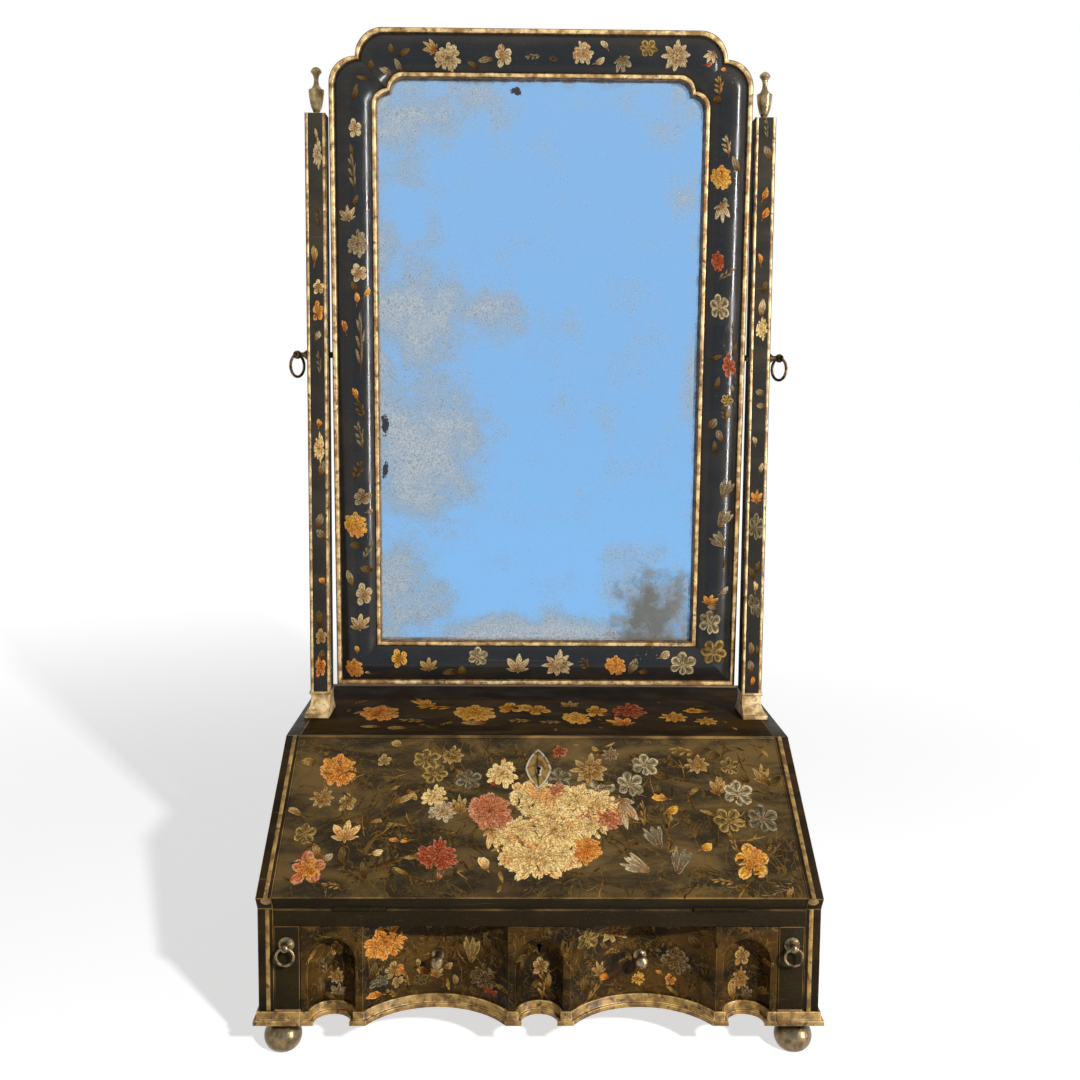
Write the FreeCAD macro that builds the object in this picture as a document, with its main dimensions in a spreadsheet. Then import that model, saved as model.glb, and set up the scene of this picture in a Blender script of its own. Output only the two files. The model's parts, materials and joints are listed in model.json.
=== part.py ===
import FreeCAD, Part
import math
import os
import re
import Sketcher

# Dressing table mirror: a swing mirror between two posts, on a slant-front base with a fall,
# a long shaped drawer and two lopers that carry the open fall.
# Millimetres. X to the right, Y to the back, Z up. The origin is the middle of the footprint.

# Driving dimensions
SIZES = {
    # Carcass of the base
    "carcass_width": 470.0,
    "carcass_depth": 345.0,
    "side_thickness": 13.0,
    "floor_thickness": 12.0,
    "back_thickness": 10.0,
    "drawer_opening_height": 73.0,
    "rail_height": 15.0,
    "rail_depth": 48.0,
    "bed_thickness": 12.0,
    "desk_height": 108.0,
    "shelf_thickness": 12.0,
    "shelf_lip": 3.0,
    "slope_angle": 33.2,
    "divider_thickness": 6.0,
    "divider_spacing": 150.0,
    "divider_setback": 21.5,
    "guide_thickness": 6.0,
    "running_gap": 0.3,
    "side_gap": 0.5,
    # Feet and base moulding
    "foot_height": 30.0,
    "foot_radius": 16.0,
    "foot_neck_radius": 9.0,
    "foot_neck_height": 6.0,
    "foot_spigot_radius": 3.0,
    "foot_spigot_length": 9.0,
    "foot_inset": 17.0,
    "moulding_height": 11.0,
    "moulding_projection": 4.5,
    "moulding_fillet": 4.0,
    "moulding_top_projection": 2.0,
    # Drawer
    "drawer_front_depth": 42.0,
    "drawer_top_gap": 0.8,
    "drawer_wall": 8.0,
    "drawer_back_gap": 15.0,
    "drawer_side_drop": 5.0,
    "drawer_back_drop": 10.0,
    "drawer_bottom_thickness": 6.0,
    "drawer_bottom_lift": 3.0,
    "niche_radius": 20.0,
    "niche_top_drop": 10.0,
    "panel_depth": 32.0,
    "land_width": 6.0,
    "end_land_width": 5.5,
    "knob_radius": 6.0,
    "knob_stem_radius": 2.6,
    "knob_rose_radius": 5.5,
    "knob_rose_thickness": 2.0,
    "knob_bulb_length": 9.0,
    "knob_bulb_curve": 5.0,
    "knob_projection": 21.0,
    "knob_drop": 38.0,
    # Lopers and their ring pulls
    "loper_width": 21.0,
    "loper_back_gap": 30.0,
    "pull_drop": 15.0,
    "pull_boss_radius": 6.5,
    "pull_boss_thickness": 1.6,
    "pull_neck_radius": 2.2,
    "pull_eye_radius": 3.6,
    "pull_eye_reach": 9.0,
    "pull_eye_hole": 2.45,
    "pull_ring_radius": 7.3,
    "pull_ring_wire": 1.2,
    # Fall, its hinges and its lock
    "fall_thickness": 14.0,
    "fall_gap": 0.6,
    "hinge_offset": 0.3,
    "hinge_spacing": 300.0,
    "hinge_length": 44.0,
    "hinge_leaf_width": 22.0,
    "hinge_leaf_start": 2.6,
    "hinge_leaf_thickness": 1.5,
    "knuckle_radius": 2.0,
    "knuckle_gap": 0.4,
    "hinge_pin_radius": 0.9,
    "pin_clearance": 0.05,
    "screw_radius": 1.2,
    "screw_head_radius": 2.4,
    "screw_head_height": 0.8,
    "screw_length": 7.0,
    "screw_pitch": 15.0,
    "escutcheon_width": 23.5,
    "escutcheon_height": 46.0,
    "escutcheon_side_radius": 42.0,
    "escutcheon_thickness": 1.0,
    "escutcheon_drop": 36.0,
    "keyhole_radius": 2.2,
    "keyhole_slot_width": 2.2,
    "keyhole_slot_length": 6.5,
    "lock_width": 46.0,
    "lock_height": 46.0,
    "lock_depth": 9.0,
    "lock_plate": 2.0,
    "drawer_lock_height": 32.0,
    "drawer_key_drop": 25.0,
    "bolt_width": 11.0,
    "bolt_thickness": 4.0,
    "bolt_length": 20.0,
    "bolt_throw": 6.0,
    "bolt_setback": 0.8,
    "bolt_rise": 3.5,
    # Posts, plinths and finials
    "post_inset": 21.0,
    "post_width": 19.5,
    "post_depth": 21.0,
    "post_height": 558.0,
    "post_setback": 123.0,
    "plinth_height": 24.0,
    "plinth_flare": 12.0,
    "plinth_side_flare": 4.5,
    "plinth_foot": 4.0,
    "plinth_cap": 2.5,
    "plinth_cap_overhang": 1.2,
    "plinth_cavetto_radius": 19.0,
    "finial_height": 44.5,
    "finial_radius": 7.1,
    "finial_neck_radius": 2.1,
    "finial_button_radius": 4.9,
    "finial_base_radius": 3.4,
    "finial_base_height": 2.0,
    "finial_stem_radius": 2.4,
    "finial_stem_height": 5.0,
    "finial_urn_top": 21.5,
    "finial_urn_low_radius": 4.6,
    "finial_urn_low_height": 9.5,
    "finial_urn_middle_radius": 6.2,
    "finial_urn_middle_height": 15.0,
    "finial_rim_height": 1.5,
    "finial_shoulder_radius": 4.4,
    "finial_shoulder_height": 26.5,
    "finial_neck_height": 32.5,
    "finial_neck_curve": 12.0,
    "finial_button_height": 38.5,
    "finial_spigot_radius": 2.5,
    "finial_spigot_length": 10.0,
    # Swing mirror
    "pivot_height": 331.0,
    "mirror_tilt": 2.5,
    "mirror_gap": 4.25,
    "mirror_height": 632.0,
    "mirror_clearance": 27.0,
    "frame_face": 34.0,
    "bead_width": 5.5,
    "slip_width": 5.0,
    "frame_shoulder": 6.0,
    "cushion_rise": 7.0,
    "frame_back": 8.0,
    "slip_front": 4.0,
    "slip_rise": 2.5,
    "rebate_width": 4.0,
    "rebate_front": 2.0,
    "rebate_gap": 0.5,
    "glass_thickness": 3.0,
    "backboard_thickness": 2.8,
    "outer_step_inset": 25.0,
    "outer_step_drop": 26.0,
    "inner_step_inset": 14.5,
    "inner_step_drop": 15.0,
    # Pivot screws and their rings
    "pivot_radius": 3.0,
    "pivot_clearance": 0.05,
    "bush_radius": 4.2,
    "bush_length": 14.0,
    "pivot_flange_radius": 6.3,
    "pivot_flange_gap": 0.2,
    "pivot_flange_length": 5.0,
    "pivot_neck_radius": 2.4,
    "pivot_eye_reach": 11.0,
    "pivot_eye_radius": 4.2,
    "pivot_eye_hole": 2.6,
    "pivot_ring_radius": 10.6,
    "pivot_ring_wire": 1.4,
    "pivot_ring_twist": 28.0,
}

# Places worked out from the driving dimensions
PLACES = {
    "half_width": "carcass_width / 2",
    "inner_half": "half_width - side_thickness",
    "pull_projection": "pull_eye_reach + pull_eye_radius",
    "front": "-(carcass_depth - pull_projection) / 2",
    "back": "front + carcass_depth",
    "back_board_front": "back - back_thickness",
    "floor_top": "foot_height + floor_thickness",
    "rail_bottom": "floor_top + drawer_opening_height",
    "bed_top": "rail_bottom + rail_height",
    "shelf_top": "bed_top + desk_height",
    "shelf_bottom": "shelf_top - shelf_thickness",
    "slope_sine": "sin(slope_angle * 1 deg)",
    "slope_cosine": "cos(slope_angle * 1 deg)",
    "hinge_y": "front - hinge_offset",
    "slope_length": "(desk_height - fall_thickness * slope_cosine) / slope_sine",
    "nose_y": "hinge_y - fall_thickness * slope_sine",
    "nose_z": "bed_top + fall_thickness * slope_cosine",
    "arris_y": "nose_y + slope_length * slope_cosine",
    "lip_y": "arris_y - shelf_lip * slope_cosine",
    "lip_z": "shelf_top - shelf_lip * slope_sine",
    "shelf_undercut": "lip_y + (lip_z - shelf_bottom) * slope_sine / slope_cosine",
    "fall_length": "slope_length - shelf_lip - fall_gap",
    "loper_outer": "inner_half - side_gap",
    "loper_inner": "loper_outer - loper_width",
    "loper_middle": "loper_outer - loper_width / 2",
    "loper_top": "rail_bottom - side_gap",
    "bay_half": "loper_inner - side_gap",
    "drawer_half": "bay_half - side_gap",
    "drawer_top": "rail_bottom - drawer_top_gap",
    "drawer_front_back": "front + drawer_front_depth",
    "floor_front": "drawer_front_back + side_gap",
    "guide_inner": "bay_half - guide_thickness",
    "box_half": "guide_inner - side_gap",
    "box_bottom": "floor_top + running_gap",
    "box_top": "drawer_top - drawer_side_drop",
    "box_back": "back_board_front - drawer_back_gap",
    "box_inner": "box_half - drawer_wall",
    "box_floor_top": "box_bottom + drawer_bottom_lift + drawer_bottom_thickness",
    "panel_width": "drawer_half - niche_radius * 3 - land_width * 2 - end_land_width",
    "panel_radius": "((panel_width / 2)^2 + panel_depth^2) / (2 * panel_depth)",
    "panel_centre_y": "front + panel_depth - panel_radius",
    "panel_middle": "niche_radius + land_width + panel_width / 2",
    "end_niche_middle": "niche_radius + land_width * 2 + panel_width + niche_radius",
    "niche_spring": "drawer_top - niche_top_drop - niche_radius",
    "knob_z": "drawer_top - knob_drop",
    "knob_tip_curve": "((knob_bulb_length / 2)^2 + knob_radius^2) / knob_bulb_length",
    "knob_seat_y": "front + panel_depth - running_gap",
    "pull_z": "loper_top - pull_drop",
    "pull_eye_y": "front - pull_eye_reach",
    "drawer_lock_y": "drawer_front_back - lock_depth",
    "drawer_bolt_y": "drawer_front_back - lock_depth / 2",
    "drawer_bolt_top": "drawer_top - bolt_setback",
    "bolt_half": "bolt_width / 2",
    "bolt_half_depth": "bolt_thickness / 2",
    "lock_half": "lock_width / 2",
    "fall_bolt_end": "fall_length - bolt_setback",
    "fall_bolt_start": "fall_bolt_end - bolt_length",
    "fall_key": "fall_length - escutcheon_drop",
    "drawer_key_z": "drawer_top - drawer_key_drop",
    "knuckle_bore": "knuckle_radius + knuckle_gap",
    "leaf_end": "hinge_leaf_start + hinge_leaf_width",
    "leaf_half": "hinge_length / 2",
    "knuckle_third": "hinge_length / 6",
    "screw_row": "hinge_leaf_start + hinge_leaf_width / 2",
    "foot_side": "half_width - foot_inset",
    "foot_bun_height": "foot_height - foot_neck_height",
    "foot_bulge": "foot_radius - foot_neck_radius",
    "foot_bun_curve": "((foot_bun_height / 2)^2 + foot_bulge^2) / (2 * foot_bulge)",
    "foot_front_y": "front + foot_inset",
    "foot_back_y": "back - foot_inset",
    "post_axis_y": "back - post_setback",
    "post_foot_z": "shelf_top + plinth_height",
    "post_top_z": "post_foot_z + post_height",
    "finial_tip_height": "finial_height - finial_button_height",
    "finial_tip_curve": "(finial_tip_height^2 + finial_button_radius^2) / (2 * finial_tip_height)",
    "post_side": "half_width - post_inset",
    "post_inner": "post_side - post_width / 2",
    "post_outer": "post_side + post_width / 2",
    "pivot_z": "post_foot_z + pivot_height",
    "mirror_bottom": "mirror_clearance - plinth_height - pivot_height",
    "mirror_top": "mirror_height + mirror_bottom",
    "face_total": "frame_face + bead_width",
    "mirror_half": "post_inner - mirror_gap",
    "pivot_eye_x": "pivot_flange_gap + pivot_eye_reach",
    "pivot_inner_end": "post_outer - mirror_half + bush_length - running_gap",
    "pivot_eye_join": "sqrt(pivot_eye_radius^2 - pivot_neck_radius^2)",
    "pull_eye_join": "sqrt(pull_eye_radius^2 - pull_neck_radius^2)",
}

doc = FreeCAD.newDocument("DressingTableMirror")
sheet = doc.addObject("Spreadsheet::Sheet", "Sizes")
for row, (size_name, size_value) in enumerate(SIZES.items(), start=1):
    sheet.set(f"A{row}", size_name)
    sheet.set(f"B{row}", str(size_value))
    sheet.setAlias(f"B{row}", size_name)
doc.recompute()

QUARTER_TURN = 90
FULL_TURN = 360

sub_parts = []


# Formulas

def formula(text):
    """Spell a formula out in sheet cells."""
    def spell(match):
        word = match.group(0)
        if word in SIZES:
            return "Sizes." + word
        if word in PLACES:
            return "(" + formula(PLACES[word]) + ")"
        return word
    return re.sub(r"[a-z_]+", spell, text)


def number(text):
    """Value of a formula, in millimetres."""
    return float(sheet.evalExpression(formula(text)))


def bind(target, **formulas):
    """Tie properties of an object to formulas."""
    for name, text in formulas.items():
        target.setExpression(name, formula(text))


def locate(target, x="0", y="0", z="0"):
    """Tie an object's position to formulas."""
    target.setExpression("Placement.Base.x", formula(x))
    target.setExpression("Placement.Base.y", formula(y))
    target.setExpression("Placement.Base.z", formula(z))


def turn_about_x(target, angle):
    """Tie an object's turn about X to a formula in degrees."""
    target.Placement.Rotation = FreeCAD.Rotation(FreeCAD.Vector(1, 0, 0), number(angle))
    target.setExpression("Placement.Rotation.Angle", formula(f"({angle}) * 1 deg"))


def on_fall(target):
    """Put an object built along the fall, from its hinge axis, on the closed slope."""
    turn_about_x(target, "slope_angle")
    locate(target, y="hinge_y", z="bed_top")
    return target


def on_mirror(target):
    """Put an object built about the pivot axis on the tilted mirror."""
    turn_about_x(target, "mirror_tilt")
    locate(target, y="post_axis_y", z="pivot_z")
    return target


def keep(target, label):
    """Name a finished sub-part."""
    target.Label = label
    sub_parts.append(target)
    return target


# Primitives and booleans

def box(name, x_span, y_span, z_span):
    """Block between a low and a high formula on each axis."""
    block = doc.addObject("Part::Box", name)
    bind(block,
         Length=f"({x_span[1]}) - ({x_span[0]})",
         Width=f"({y_span[1]}) - ({y_span[0]})",
         Height=f"({z_span[1]}) - ({z_span[0]})")
    locate(block, x_span[0], y_span[0], z_span[0])
    return block


def rod(name, axis, radius, start, length):
    """Cylinder along a named axis from its start point."""
    cylinder = doc.addObject("Part::Cylinder", name)
    if axis == "x":
        cylinder.Placement.Rotation = FreeCAD.Rotation(FreeCAD.Vector(0, 1, 0), QUARTER_TURN)
    if axis == "y":
        cylinder.Placement.Rotation = FreeCAD.Rotation(FreeCAD.Vector(1, 0, 0), -QUARTER_TURN)
    bind(cylinder, Radius=radius, Height=length)
    locate(cylinder, *start)
    return cylinder


def fuse(name, pieces):
    """Union of several objects."""
    union = doc.addObject("Part::MultiFuse", name)
    union.Shapes = pieces
    return union


def cut(name, base, tools):
    """Base with every tool taken away."""
    difference = doc.addObject("Part::Cut", name)
    difference.Base = base
    difference.Tool = tools[0] if len(tools) == 1 else fuse(name + "_tools", tools)
    return difference


def group(name, pieces):
    """Separate solids kept in one sub-part."""
    compound = doc.addObject("Part::Compound", name)
    compound.Links = pieces
    return compound


# Sketched bodies

def arc_geometry(start, end, radius, turn):
    """Arc of under half a circle: turn is 1 for counter-clockwise, -1 for clockwise."""
    chord = end - start
    middle = (start + end) * 0.5
    side = FreeCAD.Vector(-chord.y, chord.x, 0).normalize() * turn
    centre = middle + side * math.sqrt(max(radius ** 2 - (chord.Length / 2) ** 2, 0.0))
    angles = [math.atan2(p.y - centre.y, p.x - centre.x) for p in (start, end)]
    if turn < 0:
        angles.reverse()
    circle = Part.Circle(centre, FreeCAD.Vector(0, 0, 1), radius)
    return Part.ArcOfCircle(circle, angles[0], angles[1])


def outline(body, plane, points):
    """Closed sketch. A point is (x, y), or (x, y, radius, turn) where an arc runs to the next one."""
    sketch = body.newObject("Sketcher::SketchObject", body.Name + "_outline")
    support = next(f for f in body.Origin.OriginFeatures if f.Role == plane)
    sketch.AttachmentSupport = [(support, "")]
    sketch.MapMode = "FlatFace"
    corners = [FreeCAD.Vector(number(p[0]), number(p[1]), 0) for p in points]
    first_ends = []
    last_ends = []
    for index, point in enumerate(points):
        start = corners[index]
        end = corners[(index + 1) % len(points)]
        clockwise = len(point) > 2 and point[3] < 0
        if len(point) > 2:
            edge = sketch.addGeometry(arc_geometry(start, end, number(point[2]), point[3]))
        else:
            edge = sketch.addGeometry(Part.LineSegment(start, end))
        first_ends.append((edge, 2 if clockwise else 1))
        last_ends.append((edge, 1 if clockwise else 2))
    for index, ending in enumerate(last_ends):
        following = first_ends[(index + 1) % len(points)]
        sketch.addConstraint(Sketcher.Constraint("Coincident", *ending, *following))
    for index, point in enumerate(points):
        vertex = first_ends[index]
        for kind, text, axis in (("DistanceX", point[0], -2), ("DistanceY", point[1], -1)):
            if text == "0":
                sketch.addConstraint(Sketcher.Constraint("PointOnObject", *vertex, axis))
            else:
                rule = Sketcher.Constraint(kind, -1, 1, *vertex, number(text))
                sketch.setExpression(f"Constraints[{sketch.addConstraint(rule)}]", formula(text))
        if len(point) > 2:
            rule = Sketcher.Constraint("Radius", vertex[0], number(point[2]))
            sketch.setExpression(f"Constraints[{sketch.addConstraint(rule)}]", formula(point[2]))
    return sketch


def padded(name, plane, points, length):
    """Body with one outline drawn out along its plane's normal."""
    body = doc.addObject("PartDesign::Body", name)
    profile = outline(body, plane, points)
    pad = body.newObject("PartDesign::Pad", name + "_pad")
    pad.Profile = profile
    bind(pad, Length=length)
    body.Tip = pad
    return body


def turned(name, plane, axis, points):
    """Body with one outline spun about an axis of its sketch."""
    body = doc.addObject("PartDesign::Body", name)
    profile = outline(body, plane, points)
    spin = body.newObject("PartDesign::Revolution", name + "_spin")
    spin.Profile = profile
    spin.ReferenceAxis = (profile, [axis])
    spin.Angle = FULL_TURN
    body.Tip = spin
    return body


# Lofts through sections

def lofted(name, sections):
    """Solid with straight rulings through closed sections."""
    feature = doc.addObject("Part::Feature", name)
    solid = Part.makeLoft(sections, True, True)
    if solid.Volume < 0:
        solid.reverse()
    feature.Shape = solid
    return feature


def polygon(points):
    """Closed wire of straight edges."""
    return Part.makePolygon(points + [points[0]])


# Left and right

SIDES = (("left", -1), ("right", 1))


def span(side, low, high):
    """Low and high X of a piece on one side of the middle."""
    return (low, high) if side > 0 else (f"-({high})", f"-({low})")


def at_side(side, text):
    """X of a point on one side of the middle."""
    return text if side > 0 else f"-({text})"


def across(text):
    """Low and high X of a piece centred on the middle."""
    return (f"-({text})", text)


def about(middle, half):
    """Low and high of a piece centred on a middle."""
    return (f"({middle}) - ({half})", f"({middle}) + ({half})")


def face_outward(target, side):
    """Half turn about Z for a piece of the left side built as its right twin."""
    turn = 0 if side > 0 else FULL_TURN / 2
    target.Placement.Rotation = FreeCAD.Rotation(FreeCAD.Vector(0, 0, 1), turn)
    return target


# Base carcass

def make_sides():
    """Side panels with the slope of the closed fall."""
    profile = [("front", "foot_height"), ("back", "foot_height"), ("back", "shelf_top"),
               ("arris_y", "shelf_top"), ("nose_y", "nose_z"), ("front", "bed_top")]
    for word, side in SIDES:
        panel = padded("base_side_" + word, "YZ_Plane", profile, "side_thickness")
        locate(panel, x="inner_half" if side > 0 else "-half_width")
        keep(panel, "base_side_" + word)


def make_boards():
    """Floor, foot blocks, back, bed and guides."""
    floor = box("floor_blank", across("inner_half"), ("floor_front", "back_board_front"),
                ("foot_height", "floor_top"))
    sockets = [foot_socket(word, side, "back") for word, side in SIDES]
    keep(cut("floor_cut", floor, sockets), "bottom_board")
    blocks = []
    guides = []
    for word, side in SIDES:
        block = box("foot_block_" + word, span(side, "bay_half", "inner_half"),
                    ("front", "floor_front"), ("foot_height", "floor_top"))
        blocks.append(cut("foot_block_cut_" + word, block, [foot_socket(word, side, "front")]))
        guides.append(box("drawer_guide_" + word, span(side, "guide_inner", "bay_half"),
                          ("floor_front", "back_board_front"), ("floor_top", "rail_bottom")))
    keep(group("foot_block_pair", blocks), "foot_blocks")
    keep(group("drawer_guide_pair", guides), "drawer_guides")
    back_piece = box("back_blank", across("inner_half"), ("back_board_front", "back"),
                     ("foot_height", "shelf_top"))
    keep(back_piece, "back_board")
    bed = box("bed_blank", across("inner_half"), ("front + rail_depth", "back_board_front"),
              ("bed_top - bed_thickness", "bed_top"))
    keep(bed, "desk_bed")


def make_shelf():
    """Top shelf with a lip over the fall and a mortise for the fall's bolt."""
    profile = [("shelf_undercut", "shelf_bottom"), ("back_board_front", "shelf_bottom"),
               ("back_board_front", "shelf_top"), ("arris_y", "shelf_top"), ("lip_y", "lip_z")]
    blank = padded("shelf_blank", "YZ_Plane", profile, "inner_half * 2")
    locate(blank, x="-inner_half")
    hole = box("shelf_mortise", across("bolt_half + side_gap"),
               ("fall_length", "fall_bolt_end + bolt_throw + side_gap"),
               ("bolt_rise - side_gap", "bolt_rise + bolt_thickness + side_gap"))
    mortise = on_fall(group("shelf_mortise_on_slope", [hole]))
    keep(cut("shelf_cut", blank, [mortise]), "shelf_board")


def make_dividers():
    """Two uprights that part the space behind the fall."""
    uprights = []
    for word, side in SIDES:
        low = "divider_spacing / 2 - divider_thickness / 2"
        high = "divider_spacing / 2 + divider_thickness / 2"
        uprights.append(box("divider_" + word, span(side, low, high),
                            ("shelf_undercut + divider_setback", "back_board_front"),
                            ("bed_top", "shelf_bottom")))
    keep(group("divider_pair", uprights), "pigeonhole_dividers")


# Feet and base moulding

def foot_socket(word, side, end):
    """Hole for the spigot of one foot."""
    start = (at_side(side, "foot_side"), f"foot_{end}_y", "foot_height")
    return rod(f"foot_socket_{end}_{word}", "z", "foot_spigot_radius", start, "foot_spigot_length")


def make_feet():
    """Four turned bun feet."""
    profile = [("0", "0"), ("foot_neck_radius", "0", "foot_bun_curve", 1),
               ("foot_neck_radius", "foot_bun_height"), ("foot_neck_radius", "foot_height"),
               ("foot_spigot_radius", "foot_height"),
               ("foot_spigot_radius", "foot_height + foot_spigot_length"),
               ("0", "foot_height + foot_spigot_length")]
    for end in ("front", "back"):
        for word, side in SIDES:
            foot = turned(f"foot_{end}_{word}", "XZ_Plane", "V_Axis", profile)
            locate(foot, x=at_side(side, "foot_side"), y=f"foot_{end}_y")
            keep(foot, f"foot_{end}_{word}")


def moulding_section(corner, outward):
    """Stepped section of the base moulding, standing off a corner along a direction."""
    heights = [number(text) for text in ("foot_height", "foot_height + moulding_fillet",
                                         "foot_height + moulding_height")]
    reach = number("moulding_projection")
    top_reach = number("moulding_top_projection")
    steps = [(0.0, heights[0]), (reach, heights[0]), (reach, heights[1]),
             (top_reach, heights[1]), (top_reach, heights[2]), (0.0, heights[2])]
    return polygon([corner + outward * off + FreeCAD.Vector(0, 0, height) for off, height in steps])


def make_base_mouldings():
    """Moulding along each side, mitred at the corner and returned on the front."""
    for word, side in SIDES:
        edge = side * number("half_width")
        sections = [
            moulding_section(FreeCAD.Vector(edge, number("back"), 0), FreeCAD.Vector(side, 0, 0)),
            moulding_section(FreeCAD.Vector(edge, number("front"), 0), FreeCAD.Vector(side, -1, 0)),
            moulding_section(FreeCAD.Vector(side * number("bay_half"), number("front"), 0),
                             FreeCAD.Vector(0, -1, 0)),
        ]
        keep(lofted("base_moulding_" + word, sections), "base_moulding_" + word)


# Fall hinges

def hinge_middles():
    """Side word and X of the middle of each hinge."""
    return [(word, at_side(side, "hinge_spacing / 2")) for word, side in SIDES]


def knuckle_spans(middle, moving):
    """X spans of the knuckles that belong to one half of a hinge."""
    if moving:
        return [about(middle, "knuckle_third - knuckle_gap / 2")]
    inner = "knuckle_third + knuckle_gap / 2"
    return [(f"({middle}) - leaf_half", f"({middle}) - ({inner})"),
            (f"({middle}) + {inner}", f"({middle}) + leaf_half")]


def leaf_heights(moving):
    """Depths of a leaf let in below the bed, or into the fall."""
    return ("0", "hinge_leaf_thickness") if moving else ("-hinge_leaf_thickness", "0")


def hinge_screws(name, middle, moving):
    """Two countersunk screws of one leaf."""
    screws = []
    for word, side in SIDES:
        place = f"({middle}) + ({at_side(side, 'screw_pitch')})"
        head_start = "0" if moving else "-screw_head_height"
        shank_start = "0" if moving else "-screw_length"
        head = rod(f"{name}_head_{word}", "z", "screw_head_radius",
                   (place, "screw_row", head_start), "screw_head_height")
        shank = rod(f"{name}_shank_{word}", "z", "screw_radius",
                    (place, "screw_row", shank_start), "screw_length")
        screws.append(fuse(f"{name}_{word}", [head, shank]))
    return screws


def hinge_leaf(name, middle, moving, screws):
    """Plate, knuckles and bore of one half of a hinge, built about its axis."""
    low, high = leaf_heights(moving)
    pieces = [box(name + "_plate", about(middle, "leaf_half"), ("hinge_leaf_start", "leaf_end"),
                  (low, high))]
    for index, (start, end) in enumerate(knuckle_spans(middle, moving)):
        pieces.append(rod(f"{name}_knuckle_{index}", "x", "knuckle_radius", (start, "0", "0"),
                          f"({end}) - ({start})"))
        pieces.append(box(f"{name}_tongue_{index}", (start, end), ("0", "hinge_leaf_start"),
                          (low, high)))
    bore_radius = "hinge_pin_radius + pin_clearance" if moving else "hinge_pin_radius"
    bore = rod(name + "_bore", "x", bore_radius, (f"({middle}) - leaf_half", "0", "0"),
               "hinge_length")
    return cut(name + "_bored", fuse(name + "_blank", pieces), [bore] + screws)


def leaf_recess(name, middle, moving):
    """Room in the wood for a leaf and for all the knuckles of its hinge."""
    low, high = leaf_heights(moving)
    room = "leaf_half + knuckle_gap"
    groove = rod(name + "_groove", "x", "knuckle_bore", (f"({middle}) - ({room})", "0", "0"),
                 f"({room}) * 2")
    bed = box(name + "_bed", about(middle, "leaf_half"), ("0", "leaf_end"), (low, high))
    return [groove, bed]


def on_bed(target):
    """Put an object built about the hinge axis on the bed."""
    locate(target, y="hinge_y", z="bed_top")
    return target


def make_rail_and_bed_hinges():
    """Rail over the drawer with the fixed half of the hinges and the drawer's bolt mortise."""
    leaves = []
    screws = []
    pins = []
    hollows = []
    for word, middle in hinge_middles():
        pair = hinge_screws("bed_screw_" + word, middle, False)
        leaves.append(hinge_leaf("bed_leaf_" + word, middle, False, pair))
        screws.extend(pair)
        hollows.extend(leaf_recess("bed_recess_" + word, middle, False) + pair)
        pins.append(rod("hinge_pin_" + word, "x", "hinge_pin_radius",
                        (f"({middle}) - leaf_half", "0", "0"), "hinge_length"))
    blank = box("rail_blank", across("inner_half"), ("front", "front + rail_depth"),
                ("rail_bottom", "bed_top"))
    mortise = box("rail_mortise", across("bolt_half + side_gap"),
                  about("drawer_bolt_y", "bolt_half_depth + side_gap"),
                  ("rail_bottom", "drawer_bolt_top + bolt_throw + side_gap"))
    recesses = on_bed(group("bed_recesses", [fuse("bed_recess_union", hollows)]))
    keep(cut("rail_cut", blank, [recesses, mortise]), "front_rail")
    keep(on_bed(group("bed_leaf_pair", leaves)), "bed_hinge_leaves")
    keep(on_bed(group("bed_screw_set", screws)), "bed_hinge_screws")
    keep(on_bed(group("hinge_pin_pair", pins)), "hinge_pins")


# Fall

def fall_keyhole(name, low, high):
    """Keyhole along the depth of the fall."""
    barrel = rod(name + "_barrel", "z", "keyhole_radius", ("0", "fall_key", low),
                 f"({high}) - ({low})")
    slot = box(name + "_slot", across("keyhole_slot_width / 2"),
               ("fall_key - keyhole_slot_length", "fall_key"), (low, high))
    return fuse(name, [barrel, slot])


def make_fall():
    """Sloping fall with its hinge leaves, key plate, lock and bolt."""
    leaves = []
    screws = []
    hollows = []
    for word, middle in hinge_middles():
        pair = hinge_screws("fall_screw_" + word, middle, True)
        leaves.append(hinge_leaf("fall_leaf_" + word, middle, True, pair))
        screws.extend(pair)
        hollows.extend(leaf_recess("fall_recess_" + word, middle, True) + pair)
    lock_start = "fall_length - lock_height"
    pocket = box("fall_lock_pocket", across("lock_half"), (lock_start, "fall_length"),
                 ("0", "lock_depth"))
    blank = box("fall_blank", across("inner_half - fall_gap"), ("knuckle_gap", "fall_length"),
                ("0", "fall_thickness"))
    keyhole = fall_keyhole("fall_keyhole", "lock_depth", "fall_thickness")
    keep(on_fall(cut("fall_cut", blank, hollows + [pocket, keyhole])), "fall_board")
    keep(on_fall(group("fall_leaf_pair", leaves)), "fall_hinge_leaves")
    keep(on_fall(group("fall_screw_set", screws)), "fall_hinge_screws")
    case = box("fall_lock_case", across("lock_half"), (lock_start, "fall_length"),
               ("0", "lock_depth"))
    channel = box("fall_bolt_channel", across("bolt_half + running_gap"),
                  ("fall_bolt_start - running_gap", "fall_length"),
                  ("bolt_rise - running_gap", "bolt_rise + bolt_thickness + running_gap"))
    lock_keyhole = fall_keyhole("fall_lock_keyhole", "lock_plate", "lock_depth")
    keep(on_fall(cut("fall_lock_cut", case, [channel, lock_keyhole])), "fall_lock")
    bolt = box("fall_bolt", across("bolt_half"), ("fall_bolt_start", "fall_bolt_end"),
               ("bolt_rise", "bolt_rise + bolt_thickness"))
    keep(on_fall(group("fall_bolt_on_slope", [bolt])), "fall_lock_bolt")
    make_escutcheon()


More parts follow.
